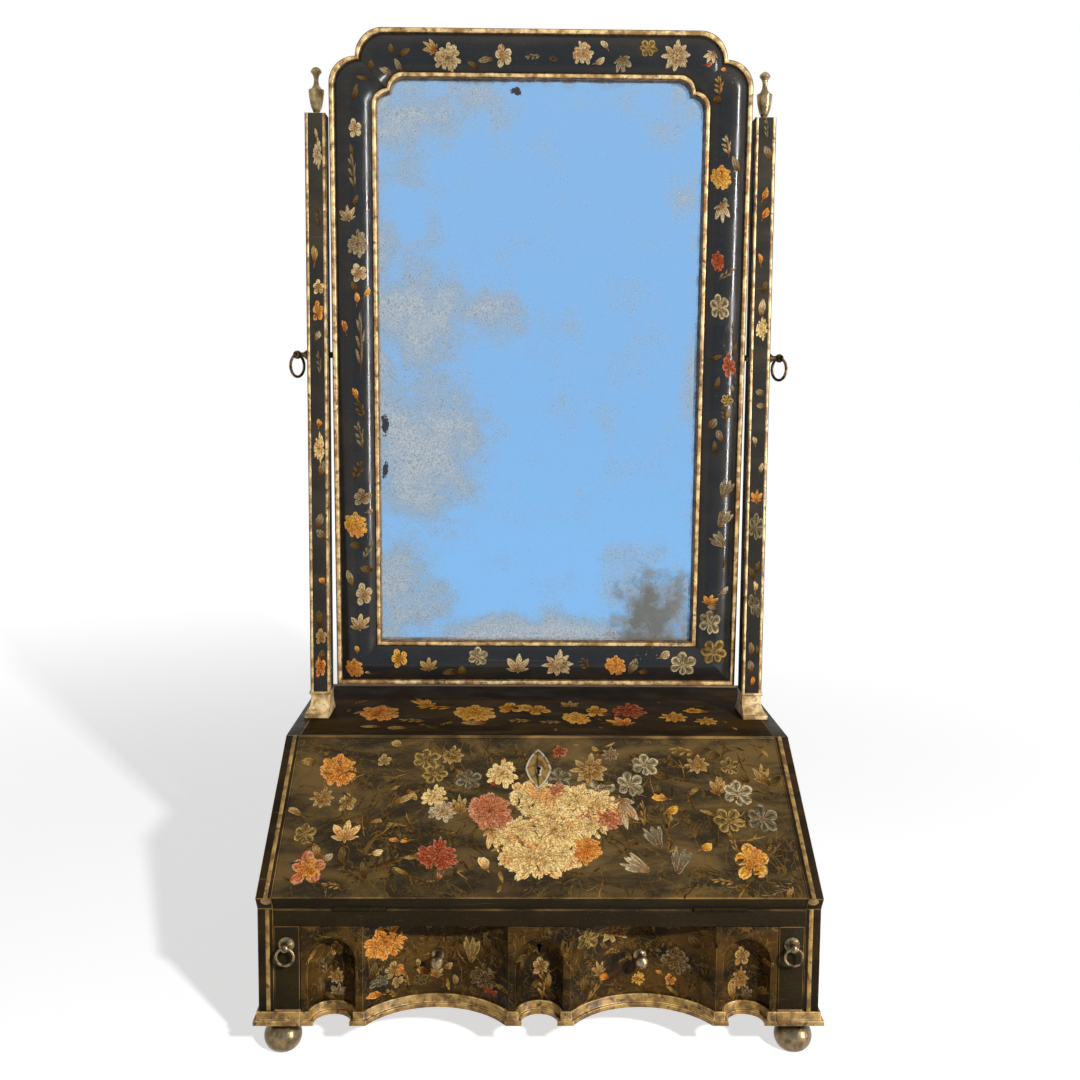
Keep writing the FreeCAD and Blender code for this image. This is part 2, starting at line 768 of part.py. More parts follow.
def make_escutcheon():
    """Key plate: a pointed oval with a cusp on each side."""
    curve = "escutcheon_side_radius"
    profile = [("0", "-escutcheon_height / 2", curve, 1), ("escutcheon_width / 2", "0", curve, 1),
               ("0", "escutcheon_height / 2", curve, 1), ("-escutcheon_width / 2", "0", curve, 1)]
    plate = padded("escutcheon_plate", "XY_Plane", profile, "escutcheon_thickness")
    locate(plate, y="fall_key", z="fall_thickness")
    keyhole = fall_keyhole("escutcheon_keyhole", "fall_thickness",
                           "fall_thickness + escutcheon_thickness")
    keep(on_fall(cut("escutcheon_cut", plate, [keyhole])), "fall_escutcheon")


# Drawer

def niche_middles():
    """Word and X of the middle of each niche."""
    ends = [(word, at_side(side, "end_niche_middle")) for word, side in SIDES]
    return [("middle", "0")] + ends


def upright_hollows(name, shrink, niche_span, panel_span):
    """Upright hollows of the drawer front: three niches and two wide panels."""
    hollows = []
    for word, middle in niche_middles():
        low, high = niche_span
        hollows.append(rod(f"{name}_niche_{word}", "z", f"niche_radius - {shrink}",
                           (middle, "front", low), f"({high}) - ({low})"))
    for word, side in SIDES:
        low, high = panel_span
        middle = at_side(side, "panel_middle")
        hollows.append(rod(f"{name}_panel_{word}", "z", f"panel_radius - {shrink}",
                           (middle, "panel_centre_y", low), f"({high}) - ({low})"))
    return hollows


def niche_domes():
    """Round heads of the three niches."""
    domes = []
    for word, middle in niche_middles():
        dome = doc.addObject("Part::Sphere", "niche_dome_" + word)
        bind(dome, Radius="niche_radius")
        locate(dome, middle, "front", "niche_spring")
        domes.append(dome)
    return domes


def drawer_keyhole(name, low, high):
    """Keyhole through the middle niche."""
    barrel = rod(name + "_barrel", "y", "keyhole_radius", ("0", low, "drawer_key_z"),
                 f"({high}) - ({low})")
    slot = box(name + "_slot", across("keyhole_slot_width / 2"), (low, high),
               ("drawer_key_z - keyhole_slot_length", "drawer_key_z"))
    return fuse(name, [barrel, slot])


def make_drawer_front():
    """Shaped front with its lock and bolt. Returns the front."""
    block = box("drawer_block", across("drawer_half"), ("front", "drawer_front_back"),
                ("foot_height", "drawer_top"))
    hollows = upright_hollows("front", "0", ("foot_height", "niche_spring"),
                              ("foot_height", "drawer_top"))
    lock_span = ("drawer_top - drawer_lock_height", "drawer_top")
    pocket = box("drawer_lock_pocket", across("lock_half"),
                 ("drawer_lock_y", "drawer_front_back"), lock_span)
    keyhole = drawer_keyhole("drawer_keyhole", "front", "drawer_lock_y")
    front_piece = cut("drawer_front_cut", block, hollows + niche_domes() + [pocket, keyhole])
    keep(front_piece, "drawer_front")
    case = box("drawer_lock_case", across("lock_half"),
               ("drawer_lock_y", "drawer_front_back"), lock_span)
    channel = box("drawer_bolt_channel", across("bolt_half + running_gap"),
                  about("drawer_bolt_y", "bolt_half_depth + running_gap"),
                  ("drawer_bolt_top - bolt_length - running_gap", "drawer_top"))
    lock_keyhole = drawer_keyhole("drawer_lock_keyhole", "drawer_lock_y",
                                  "drawer_front_back - lock_plate")
    keep(cut("drawer_lock_cut", case, [channel, lock_keyhole]), "drawer_lock")
    bolt = box("drawer_bolt", across("bolt_half"), about("drawer_bolt_y", "bolt_half_depth"),
               ("drawer_bolt_top - bolt_length", "drawer_bolt_top"))
    keep(bolt, "drawer_lock_bolt")
    return front_piece


def make_drawer_moulding(front_piece):
    """Two-step moulding that follows the shaped front along its foot."""
    levels = ("foot_height", "foot_height + moulding_fillet", "foot_height + moulding_height")
    reaches = ("moulding_projection", "moulding_top_projection")
    bands = []
    for low, high, reach in zip(levels, levels[1:], reaches):
        name = f"drawer_band_{len(bands)}"
        blank = box(name + "_blank", across("drawer_half"), (f"front - {reach}", "drawer_front_back"),
                    (low, high))
        bands.append(cut(name, blank, upright_hollows(name, reach, (low, high), (low, high))))
    keep(cut("drawer_moulding_cut", fuse("drawer_bands", bands), [front_piece]), "drawer_moulding")


def make_drawer_box():
    """Sides, back and bottom of the drawer."""
    for word, side in SIDES:
        wall = box("drawer_side_blank_" + word, span(side, "box_inner", "box_half"),
                   ("drawer_front_back", "box_back"), ("box_bottom", "box_top"))
        keep(wall, "drawer_side_" + word)
    keep(box("drawer_back_blank", across("box_inner"), ("box_back - drawer_wall", "box_back"),
             ("box_floor_top", "box_top - drawer_back_drop")), "drawer_back")
    keep(box("drawer_bottom_blank", across("box_inner"), ("drawer_front_back", "box_back"),
             ("box_bottom + drawer_bottom_lift", "box_floor_top")), "drawer_bottom")


def make_drawer_knobs():
    """Turned knobs in the wide panels."""
    swell = "knob_projection - knob_bulb_length"
    profile = [("0", "0"), ("0", "knob_rose_radius"),
               ("-knob_rose_thickness", "knob_rose_radius"),
               ("-knob_rose_thickness", "knob_stem_radius"),
               (f"-({swell})", "knob_stem_radius", "knob_bulb_curve", 1),
               (f"-({swell} + knob_bulb_length / 2)", "knob_radius", "knob_tip_curve", 1),
               ("-knob_projection", "0")]
    for word, side in SIDES:
        knob = turned("drawer_knob_" + word, "YZ_Plane", "H_Axis", profile)
        locate(knob, at_side(side, "panel_middle"), "knob_seat_y", "knob_z")
        keep(knob, "drawer_knob_" + word)


# Lopers

def make_lopers():
    """Bearers of the open fall, each with an eyed stud and a ring."""
    profile = [("0", "0"), ("0", "pull_boss_radius"),
               ("-pull_boss_thickness", "pull_boss_radius"),
               ("-pull_boss_thickness * 2", "pull_neck_radius"),
               ("-pull_eye_reach + pull_eye_join", "pull_neck_radius", "pull_eye_radius", 1),
               ("-pull_eye_reach - pull_eye_radius", "0")]
    for word, side in SIDES:
        keep(box("loper_blank_" + word, span(side, "loper_inner", "loper_outer"),
                 ("front", "back_board_front - loper_back_gap"),
                 ("floor_top + running_gap", "loper_top")), "loper_" + word)
        middle = at_side(side, "loper_middle")
        stud = turned("loper_stud_blank_" + word, "YZ_Plane", "H_Axis", profile)
        locate(stud, middle, "front", "pull_z")
        hole = rod("loper_eye_" + word, "x", "pull_eye_hole",
                   (f"({middle}) - pull_eye_radius", "pull_eye_y", "pull_z"),
                   "pull_eye_radius * 2")
        keep(cut("loper_stud_cut_" + word, stud, [hole]), "loper_stud_" + word)
        loop = ring("loper_loop_" + word, FreeCAD.Vector(1, 0, 0), "pull_ring_radius",
                    "pull_ring_wire")
        locate(loop, middle, "pull_eye_y", "pull_z - pull_ring_radius")
        keep(loop, "loper_ring_" + word)


def ring(name, tip_axis, radius, wire):
    """Round ring of wire, tipped upright by a quarter turn about an axis."""
    torus = doc.addObject("Part::Torus", name)
    torus.Placement.Rotation = FreeCAD.Rotation(tip_axis, QUARTER_TURN)
    bind(torus, Radius1=radius, Radius2=wire)
    return torus


# Posts, plinths and finials

def plinth_profile(half, flare):
    """Hollow-sided profile of a plinth, the same on both sides of its axis."""
    foot = f"{half} + {flare}"
    cap = f"{half} + plinth_cap_overhang"
    hollow_top = "plinth_height - plinth_cap"
    curve = "plinth_cavetto_radius"
    return [(f"-({foot})", "0"), (foot, "0"), (foot, "plinth_foot", curve, -1),
            (half, hollow_top), (cap, hollow_top), (cap, "plinth_height"),
            (f"-({cap})", "plinth_height"), (f"-({cap})", hollow_top),
            (f"-({half})", hollow_top, curve, -1), (f"-({foot})", "plinth_foot")]


def side_profile(half, flare):
    """Profile of a plinth seen from the front: hollow outside, upright inside."""
    foot = f"{half} + {flare}"
    cap = f"{half} + plinth_cap_overhang"
    hollow_top = "plinth_height - plinth_cap"
    return [(f"-({half})", "0"), (foot, "0"), (foot, "plinth_foot", "plinth_cavetto_radius", -1),
            (half, hollow_top), (cap, hollow_top), (cap, "plinth_height"),
            (f"-({half})", "plinth_height")]


def make_plinths():
    """Flared plinths under the posts."""
    half_depth = "post_depth / 2"
    half_width = "post_width / 2"
    for word, side in SIDES:
        deep = padded("plinth_depth_" + word, "YZ_Plane", plinth_profile(half_depth, "plinth_flare"),
                      "post_width + plinth_side_flare")
        locate(deep, x=f"-({half_width})")
        wide = padded("plinth_width_" + word, "XZ_Plane", side_profile(half_width, "plinth_side_flare"),
                      "post_depth + plinth_flare * 2")
        locate(wide, y="post_depth / 2 + plinth_flare")
        shared = doc.addObject("Part::Common", "plinth_" + word)
        shared.Base = deep
        shared.Tool = wide
        locate(face_outward(shared, side), at_side(side, "post_side"), "post_axis_y", "shelf_top")
        keep(shared, "post_plinth_" + word)


def make_posts():
    """Square posts, bored for the pivot screws and the finials."""
    for word, side in SIDES:
        middle = at_side(side, "post_side")
        blank = box("post_blank_" + word, span(side, "post_inner", "post_outer"),
                    about("post_axis_y", "post_depth / 2"), ("post_foot_z", "post_top_z"))
        bore = rod("post_bore_" + word, "x", "pivot_radius + pivot_clearance",
                   (f"({middle}) - post_width / 2", "post_axis_y", "pivot_z"), "post_width")
        socket = rod("finial_socket_" + word, "z", "finial_spigot_radius",
                     (middle, "post_axis_y", "post_top_z - finial_spigot_length"),
                     "finial_spigot_length")
        keep(cut("post_cut_" + word, blank, [bore, socket]), "post_" + word)


def make_finials():
    """Turned urn finials on the posts."""
    profile = [("0", "-finial_spigot_length"), ("finial_spigot_radius", "-finial_spigot_length"),
               ("finial_spigot_radius", "0"), ("finial_base_radius", "0"),
               ("finial_base_radius", "finial_base_height"),
               ("finial_stem_radius", "finial_stem_height"),
               ("finial_urn_low_radius", "finial_urn_low_height"),
               ("finial_urn_middle_radius", "finial_urn_middle_height"),
               ("finial_radius", "finial_urn_top"),
               ("finial_radius", "finial_urn_top + finial_rim_height"),
               ("finial_shoulder_radius", "finial_shoulder_height", "finial_neck_curve", -1),
               ("finial_neck_radius", "finial_neck_height", "finial_neck_curve", -1),
               ("finial_button_radius", "finial_button_height", "finial_tip_curve", 1),
               ("0", "finial_height")]
    for word, side in SIDES:
        finial = turned("finial_" + word, "XZ_Plane", "V_Axis", profile)
        locate(finial, at_side(side, "post_side"), "post_axis_y", "post_top_z")
        keep(finial, "finial_" + word)


# Pivot screws

def at_eye(name, piece, side):
    """Twist a piece built about the eye, mirrored on the left, and put it on the screw."""
    twisted = group(name, [piece])
    upright = FreeCAD.Vector(0, 0, side)
    twisted.Placement.Rotation = FreeCAD.Rotation(upright, number("pivot_ring_twist"))
    twisted.setExpression("Placement.Rotation.Angle", formula("pivot_ring_twist * 1 deg"))
    locate(twisted, x="pivot_eye_x")
    return twisted


def at_post(target, side):
    """Put a piece built outward from the post's face on its post."""
    locate(face_outward(target, side), at_side(side, "post_outer"), "post_axis_y", "pivot_z")
    return target


def make_pivots():
    """Screws through the posts into the frame, each with an eye and a ring."""
    profile = [("-pivot_inner_end", "0"), ("pivot_eye_x + pivot_eye_radius", "0", "pivot_eye_radius", 1),
               ("pivot_eye_x - pivot_eye_join", "pivot_neck_radius"),
               ("pivot_flange_gap + pivot_flange_length", "pivot_neck_radius"),
               ("pivot_flange_gap", "pivot_flange_radius"), ("pivot_flange_gap", "pivot_radius"),
               ("-pivot_inner_end", "pivot_radius")]
    for word, side in SIDES:
        blank = turned("pivot_blank_" + word, "XZ_Plane", "H_Axis", profile)
        hole = rod("pivot_eye_hole_" + word, "y", "pivot_eye_hole", ("0", "-pivot_eye_radius", "0"),
                   "pivot_eye_radius * 2")
        screw = cut("pivot_cut_" + word, blank, [at_eye("pivot_eye_" + word, hole, side)])
        keep(at_post(screw, side), "pivot_screw_" + word)
        loop = ring("pivot_loop_" + word, FreeCAD.Vector(0, 1, 0), "pivot_ring_radius",
                    "pivot_ring_wire")
        locate(loop, z="-pivot_ring_radius")
        twisted = at_eye("pivot_loop_twisted_" + word, loop, side)
        hung = group("pivot_ring_hung_" + word, [twisted])
        keep(at_post(hung, side), "pivot_ring_" + word)


# Swing mirror

ARC_STEPS = 6


def stepped_edge(edge, top, bottom, inset, drop):
    """Left half of a frame edge: bottom corner, then the lower and the upper round of the top."""
    lower = (edge + inset, top - drop - inset, inset)
    upper = (edge + inset + drop, top - drop, drop)
    points = [(edge, bottom)]
    for centre_x, centre_z, radius in (lower, upper):
        for step in range(ARC_STEPS + 1):
            angle = math.pi - step * math.pi / 2 / ARC_STEPS
            points.append((centre_x + radius * math.cos(angle), centre_z + radius * math.sin(angle)))
    return points


def frame_stations():
    """Pairs of inner and outer points round the left half of the frame."""
    edge = -number("mirror_half")
    top = number("mirror_top")
    bottom = number("mirror_bottom")
    face = number("face_total")
    outer = stepped_edge(edge, top, bottom, number("outer_step_inset"), number("outer_step_drop"))
    inner = stepped_edge(edge + face, top - face, bottom + face, number("inner_step_inset"),
                         number("inner_step_drop"))
    return list(zip(inner, outer))


def mirrored(stations):
    """The same stations on the right half, in reverse order."""
    return [tuple((-x, z) for x, z in station) for station in reversed(stations)]


def spot(station, distance, depth):
    """Point of a station at a distance from the inner edge, at a depth."""
    inner, outer = station
    share = distance / number("face_total")
    x = inner[0] + (outer[0] - inner[0]) * share
    z = inner[1] + (outer[1] - inner[1]) * share
    return FreeCAD.Vector(x, depth, z)


def rounded_wire(station, low, high, shoulder, crest, tail):
    """Section with a round front between two distances, closed through a tail of points."""
    ends = [spot(station, low, shoulder), spot(station, high, shoulder)]
    top = spot(station, (low + high) / 2, crest)
    corners = [ends[1]] + [spot(station, distance, depth) for distance, depth in tail] + [ends[0]]
    edges = [Part.Arc(ends[0], top, ends[1]).toShape()]
    edges += [Part.LineSegment(a, b).toShape() for a, b in zip(corners, corners[1:])]
    return Part.Wire(edges)


def cushion_wire(station):
    """Section of a frame member: cushion front, flat under the bead, rebate behind."""
    shoulder = -number("frame_shoulder")
    back_face = number("frame_back")
    rebate = number("rebate_width")
    floor = number("rebate_front")
    face = number("face_total")
    tail = [(face, shoulder), (face, back_face), (rebate, back_face), (rebate, floor), (0.0, floor)]
    return rounded_wire(station, 0.0, number("frame_face"), shoulder,
                        shoulder - number("cushion_rise"), tail)


def bead_wire(station):
    """Half-round section of the outer bead."""
    shoulder = -number("frame_shoulder")
    crest = shoulder - number("bead_width") / 2
    return rounded_wire(station, number("frame_face"), number("face_total"), shoulder, crest, [])


def slip_wire(station):
    """Round-fronted section of the slip beside the glass."""
    shoulder = -number("slip_front")
    width = number("slip_width")
    floor = number("rebate_front")
    return rounded_wire(station, -width, 0.0, shoulder, shoulder - number("slip_rise"),
                        [(0.0, floor), (-width, floor)])


def frame_members():
    """Stations of each frame member, by name."""
    stations = frame_stations()
    upright = stations[:ARC_STEPS + 2]
    crown = stations[ARC_STEPS + 2:]
    foot = stations[:1]
    return {"stile_left": upright, "top_rail": crown + mirrored(crown),
            "stile_right": mirrored(upright), "bottom_rail": mirrored(foot) + foot}


def bush_hole(side):
    """Room for a bush, in from the outer edge of a stile."""
    edge = FreeCAD.Vector(side * number("mirror_half"), 0, 0)
    return Part.makeCylinder(number("bush_radius"), number("bush_length"), edge,
                             FreeCAD.Vector(-side, 0, 0))


def make_frame():
    """Four cushion members with the outer bead and the sight slip."""
    members = frame_members()
    for word, stations in members.items():
        member = lofted("mirror_" + word, [cushion_wire(station) for station in stations])
        for side_word, side in SIDES:
            if word.endswith(side_word):
                member.Shape = member.Shape.cut(bush_hole(side))
        keep(on_mirror(member), "mirror_" + word)
    for label, section in (("outer_bead", bead_wire), ("sight_slip", slip_wire)):
        strips = [lofted(f"{label}_{word}", [section(station) for station in stations])
                  for word, stations in members.items()]
        keep(on_mirror(group(label + "_set", strips)), label)


def make_bushes():
    """Metal bushes in the stiles."""
    bushes = []
    for word, side in SIDES:
        start = (span(side, "mirror_half - bush_length", "mirror_half")[0], "0", "0")
        tube = rod("bush_blank_" + word, "x", "bush_radius", start, "bush_length")
        bore = rod("bush_bore_" + word, "x", "pivot_radius + pivot_clearance", start, "bush_length")
        bushes.append(cut("bush_" + word, tube, [bore]))
    keep(on_mirror(group("bush_pair", bushes)), "pivot_bushes")


def plate(name, front_depth, back_depth):
    """Flat plate that fills the rebate of the frame."""
    reach = number("rebate_width - rebate_gap")
    stations = frame_stations()
    stations.pop(ARC_STEPS + 2)
    points = [spot(station, reach, front_depth) for station in stations + mirrored(stations)]
    feature = doc.addObject("Part::Feature", name)
    face = Part.Face(polygon(points))
    feature.Shape = face.extrude(FreeCAD.Vector(0, back_depth - front_depth, 0))
    return feature


def make_plates():
    """Mirror plate, and the board behind it."""
    front_face = number("rebate_front")
    keep(on_mirror(plate("glass_plate", front_face, front_face + number("glass_thickness"))),
         "mirror_glass")
    back_face = number("frame_back")
    keep(on_mirror(plate("backboard_plate", back_face - number("backboard_thickness"), back_face)),
         "mirror_backboard")


# Whole object

def build():
    """Make every sub-part."""
    make_sides()
    make_boards()
    make_shelf()
    make_dividers()
    make_feet()
    make_base_mouldings()
    make_rail_and_bed_hinges()
    make_fall()
    make_drawer_moulding(make_drawer_front())
    make_drawer_box()
    make_drawer_knobs()
    make_lopers()
    make_plinths()
    make_posts()
    make_finials()
    make_pivots()
    make_frame()
    make_bushes()
    make_plates()
    doc.recompute()


def check():
    """Stop if any object failed or any sub-part is not a sound solid."""
    for item in doc.Objects:
        if "Invalid" in item.State or "Error" in item.State:
            raise RuntimeError(f"{item.Name} failed: {item.State}")
    for item in sub_parts:
        shape = item.Shape
        if shape.isNull() or not shape.isValid() or not shape.Solids or shape.Volume <= 0:
            raise RuntimeError(f"{item.Label} has no sound solid")


def export():
    """Write one file for each sub-part."""
    os.makedirs("parts", exist_ok=True)
    for item in sub_parts:
        item.Shape.exportStep(f"parts/{item.Label}.step")


build()
check()
export()
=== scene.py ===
"""Visual model of the dressing table mirror: japanned boards, gilt edges, painted sprays, old plate."""

import json
import logging
import math
import random
from dataclasses import dataclass
from enum import Enum, IntEnum
from typing import Any, Iterable, Optional, Sequence

import bmesh
import bpy
from mathutils import Matrix, Quaternion, Vector

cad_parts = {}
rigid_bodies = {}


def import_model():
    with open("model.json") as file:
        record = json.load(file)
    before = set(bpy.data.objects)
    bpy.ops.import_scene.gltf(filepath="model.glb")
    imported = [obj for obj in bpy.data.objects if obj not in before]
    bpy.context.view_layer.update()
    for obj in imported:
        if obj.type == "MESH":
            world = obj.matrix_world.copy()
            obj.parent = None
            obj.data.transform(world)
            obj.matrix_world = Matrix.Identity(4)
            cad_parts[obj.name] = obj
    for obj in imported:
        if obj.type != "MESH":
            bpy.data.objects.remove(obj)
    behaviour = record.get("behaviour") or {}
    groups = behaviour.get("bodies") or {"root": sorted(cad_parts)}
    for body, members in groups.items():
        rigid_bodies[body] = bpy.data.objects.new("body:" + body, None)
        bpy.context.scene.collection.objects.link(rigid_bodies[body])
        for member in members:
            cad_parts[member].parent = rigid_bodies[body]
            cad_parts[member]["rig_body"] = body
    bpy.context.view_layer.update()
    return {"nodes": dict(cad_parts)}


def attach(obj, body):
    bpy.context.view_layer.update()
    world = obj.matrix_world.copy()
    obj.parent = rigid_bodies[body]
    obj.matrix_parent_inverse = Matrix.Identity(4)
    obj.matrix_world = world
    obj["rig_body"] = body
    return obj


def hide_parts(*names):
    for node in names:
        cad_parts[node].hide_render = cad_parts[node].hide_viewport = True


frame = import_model()
LOG = logging.getLogger("dressing_table_mirror")
MM = 0.001
# Weld distance in metres, flat angle in degrees, least cosine of a banded face.
WELD = 1e-5
FLAT_ANGLE = 0.6
BAND_FACING = 0.6
HANDS = ("left", "right")
ACROSS = Vector((1.0, 0.0, 0.0))
FORWARD = Vector((0.0, -1.0, 0.0))
UPWARD = Vector((0.0, 0.0, 1.0))
Colour = tuple[float, float, float, float]
Spot = tuple[float, float]
Socket = bpy.types.NodeSocket
Piece = bpy.types.Object
Material = bpy.types.Material
Mesh = bpy.types.Mesh


def tone(red: float, green: float, blue: float) -> Colour:
    """Linear colour of a display colour.

    Args:
        red: Display red, 0 to 255.
        green: Display green, 0 to 255.
        blue: Display blue, 0 to 255.

    Returns:
        The linear colour with full alpha.
    """
    parts = [part / 255.0 for part in (red, green, blue)]
    linear = [part / 12.92 if part <= 0.04045 else ((part + 0.055) / 1.055) ** 2.4 for part in parts]
    return (linear[0], linear[1], linear[2], 1.0)


class Ink(Enum):
    """The painter's colours, as they look today."""

    CREAM = tone(252, 220, 144)
    PALE = tone(206, 184, 138)
    GREY = tone(154, 138, 104)
    GOLD = tone(184, 150, 84)
    BROWN = tone(116, 94, 54)
    ORANGE = tone(234, 156, 60)
    RED = tone(176, 80, 42)
    PINK = tone(206, 130, 88)
    YELLOW = tone(236, 176, 66)
    OLIVE = tone(98, 84, 44)


class Motif(IntEnum):
    """The painter's stock of flowers and leaves, in the order of their names."""

    BELL = 0
    BLOSSOM = 1
    BUD = 2
    CARNATION = 3
    DAB = 4
    LEAF = 5
    OUTLINE = 6
    PEONY = 7
    SPRIG = 8
    STAR = 9
    STEM = 10
    TULIP = 11


# Each mark: motif, ink, place across and up the panel, width, length, turn; millimetres and degrees.
MIRROR_SPRAYS = """
leaf brown -140 283 6 11 5; leaf brown -128 280 7 13 -60; leaf grey -134 269 7 13 25;
leaf grey -145 264 7 14 70; leaf brown -159 268 6 11 -5; leaf brown -167 257 5 13 75;
leaf brown -174 244 6 16 -15; tulip gold -104 285 14 16 60; carnation pale -88 276 26 25 0;
leaf grey -52 275 7 15 95; leaf brown -64 270 6 12 60; blossom pale -36 278 18 20 10;
sprig brown 12 276 9 10 80; sprig grey -7 278 9 17 95; blossom pale -175 211 14 17 10;
leaf brown -178 191 4 13 10; sprig grey -177 169 13 38 5; tulip pale -183 133 17 16 10;
leaf brown -175 145 6 12 -30; carnation grey -174 105 20 25 0; carnation pale 38 281 21 21 20;
bud pale 59 288 9 12 35; bud pale 53 274 9 13 -65; tulip grey 76 272 17 16 200;
outline gold 99 286 16 17 30; star pale 126 280 29 29 0; tulip pale 158 279 13 13 150;
bud red 155 272 6 10 -80; bud orange 171 268 6 7 70; sprig gold 167 252 16 19 5;
leaf brown 166 241 9 9 10; sprig pale 176 198 16 20 10; leaf grey 185 182 9 17 20;
peony yellow 171 170 19 22 0; tulip pale 173 138 16 20 190; bud grey 175 147 7 9 0;
blossom pale -173 78 17 17 15; bud orange -175 53 8 13 0; bud yellow -166 59 8 11 -30;
bud orange -187 26 9 15 15; bud yellow -177 -38 9 14 20; sprig grey -172 9 15 61 0;
sprig brown -172 -53 15 22 20; leaf brown -177 65 7 11 20; sprig grey -173 -79 15 30 10;
sprig brown -176 -113 17 22 -20; blossom grey -172 -138 20 17 0; peony yellow -179 -165 23 25 0;
bud pale -166 -152 8 8 -70; leaf brown -179 -185 9 11 80; sprig grey -168 -192 11 23 -30;
leaf brown -169 -209 9 13 70; leaf pale -185 -218 9 16 15; blossom pale -172 -235 18 23 5;
tulip pale -176 -263 21 18 0; bud yellow -179 -291 8 9 10; peony orange -182 -310 18 20 0;
bud pale -168 -315 5 7 80; blossom yellow -137 -300 19 18 20; tulip gold -108 -306 19 15 5;
leaf brown -85 -313 9 17 85; leaf brown -73 -312 8 11 10; peony red 170 92 12 19 0;
sprig grey 178 79 11 24 -55; outline pale 173 48 17 26 12; sprig brown 187 21 6 27 5;
blossom red 184 -9 16 20 20; bud red 183 1 8 8 10; leaf brown 171 -0 5 12 -70;
leaf brown 189 8 5 13 -20; leaf brown 173 -25 6 15 -20; leaf grey 188 -29 6 8 20;
outline gold 183 -41 11 13 40; sprig brown 181 -54 11 19 10; leaf grey 170 -64 10 12 -40;
leaf grey 177 -75 9 12 20; leaf brown 173 -87 7 14 5; leaf grey 184 -56 6 13 -20;
bell grey 184 -128 16 19 -20; bell grey 183 -157 16 19 -30; bell grey 179 -179 16 17 50;
sprig brown 185 -203 8 13 -10; bud pale 185 -230 9 13 -55; tulip orange 172 -239 16 12 -10;
leaf grey 175 -246 6 11 80; outline pale 172 -262 20 26 0; outline gold 177 -292 25 26 30;
outline pale -59 -298 19 18 0; leaf brown -87 -314 7 15 90; leaf brown -76 -313 5 10 10;
tulip pale -19 -305 25 20 0; star pale 22 -305 33 27 0; carnation pale 22 -304 12 12 0;
sprig brown 49 -305 18 15 30; peony orange 79 -306 21 20 0; leaf grey 97 -307 12 17 -30;
leaf brown 107 -312 7 10 80; bud pale 127 -296 12 14 -60; outline pale 146 -305 25 25 0
"""
POSTS_SPRAYS = """
bud pale -213 799 5 13 5; carnation pale -212 782 9 27 0; sprig brown -211 723 10 24 5;
bud gold -216 686 10 20 0; blossom cream -212 657 12 14 0; blossom orange -213 634 12 20 0;
leaf pale -213 611 7 10 -30; sprig grey -212 583 8 26 5; bud orange -213 526 9 10 0;
carnation cream -213 503 11 28 0; leaf grey -210 483 9 15 -20; leaf grey -213 432 10 15 -25;
leaf grey -212 419 10 12 30; bud orange -211 372 10 9 40; leaf brown -214 335 8 17 0;
blossom gold -213 317 12 16 0; blossom orange -214 287 12 23 0; leaf brown -212 298 8 11 -10;
bud orange 214 747 9 15 -20; bud orange 215 729 10 14 -25; leaf grey 217 787 9 15 20;
sprig grey 215 808 7 23 5; bud orange 212 686 7 13 10; leaf brown 217 661 6 14 -20;
leaf pale 215 641 9 17 -10; carnation cream 215 621 12 22 0; leaf grey 215 560 8 9 60;
leaf grey 216 547 7 9 80; bud pale 211 512 7 10 10; leaf pale 218 486 6 11 -20;
tulip orange 214 458 12 14 0; outline grey 214 428 14 28 0; leaf brown 211 383 7 15 20;
leaf brown 217 389 6 12 -20; bud cream 215 368 8 13 0; outline grey 215 349 11 26 20;
leaf grey 213 307 8 13 -5; leaf grey 213 289 8 13 5; leaf orange 215 274 6 10 -15;
leaf brown 219 305 4 12 10
"""
SHELF_SPRAYS = """
peony orange -157 82 41 59 0; tulip yellow -116 124 22 41 30; sprig yellow -100 105 29 43 85;
sprig gold -119 54 22 30 80; leaf gold -160 31 13 19 80; peony yellow -62 83 43 62 0;
blossom yellow -25 103 32 40 0; blossom yellow -1 97 32 43 30; sprig gold -15 55 24 25 90;
peony yellow 39 65 28 45 0; sprig gold 16 50 21 25 85; blossom yellow 61 90 25 43 0;
tulip gold 35 118 21 28 0; carnation red 94 93 37 57 0; tulip orange 82 52 28 34 20;
star yellow 137 69 30 42 0; leaf yellow 162 93 18 27 80; star yellow 167 54 25 32 0;
blossom yellow 160 95 16 22 0; leaf gold -61 46 20 26 80; leaf gold -134 27 17 19 80
"""
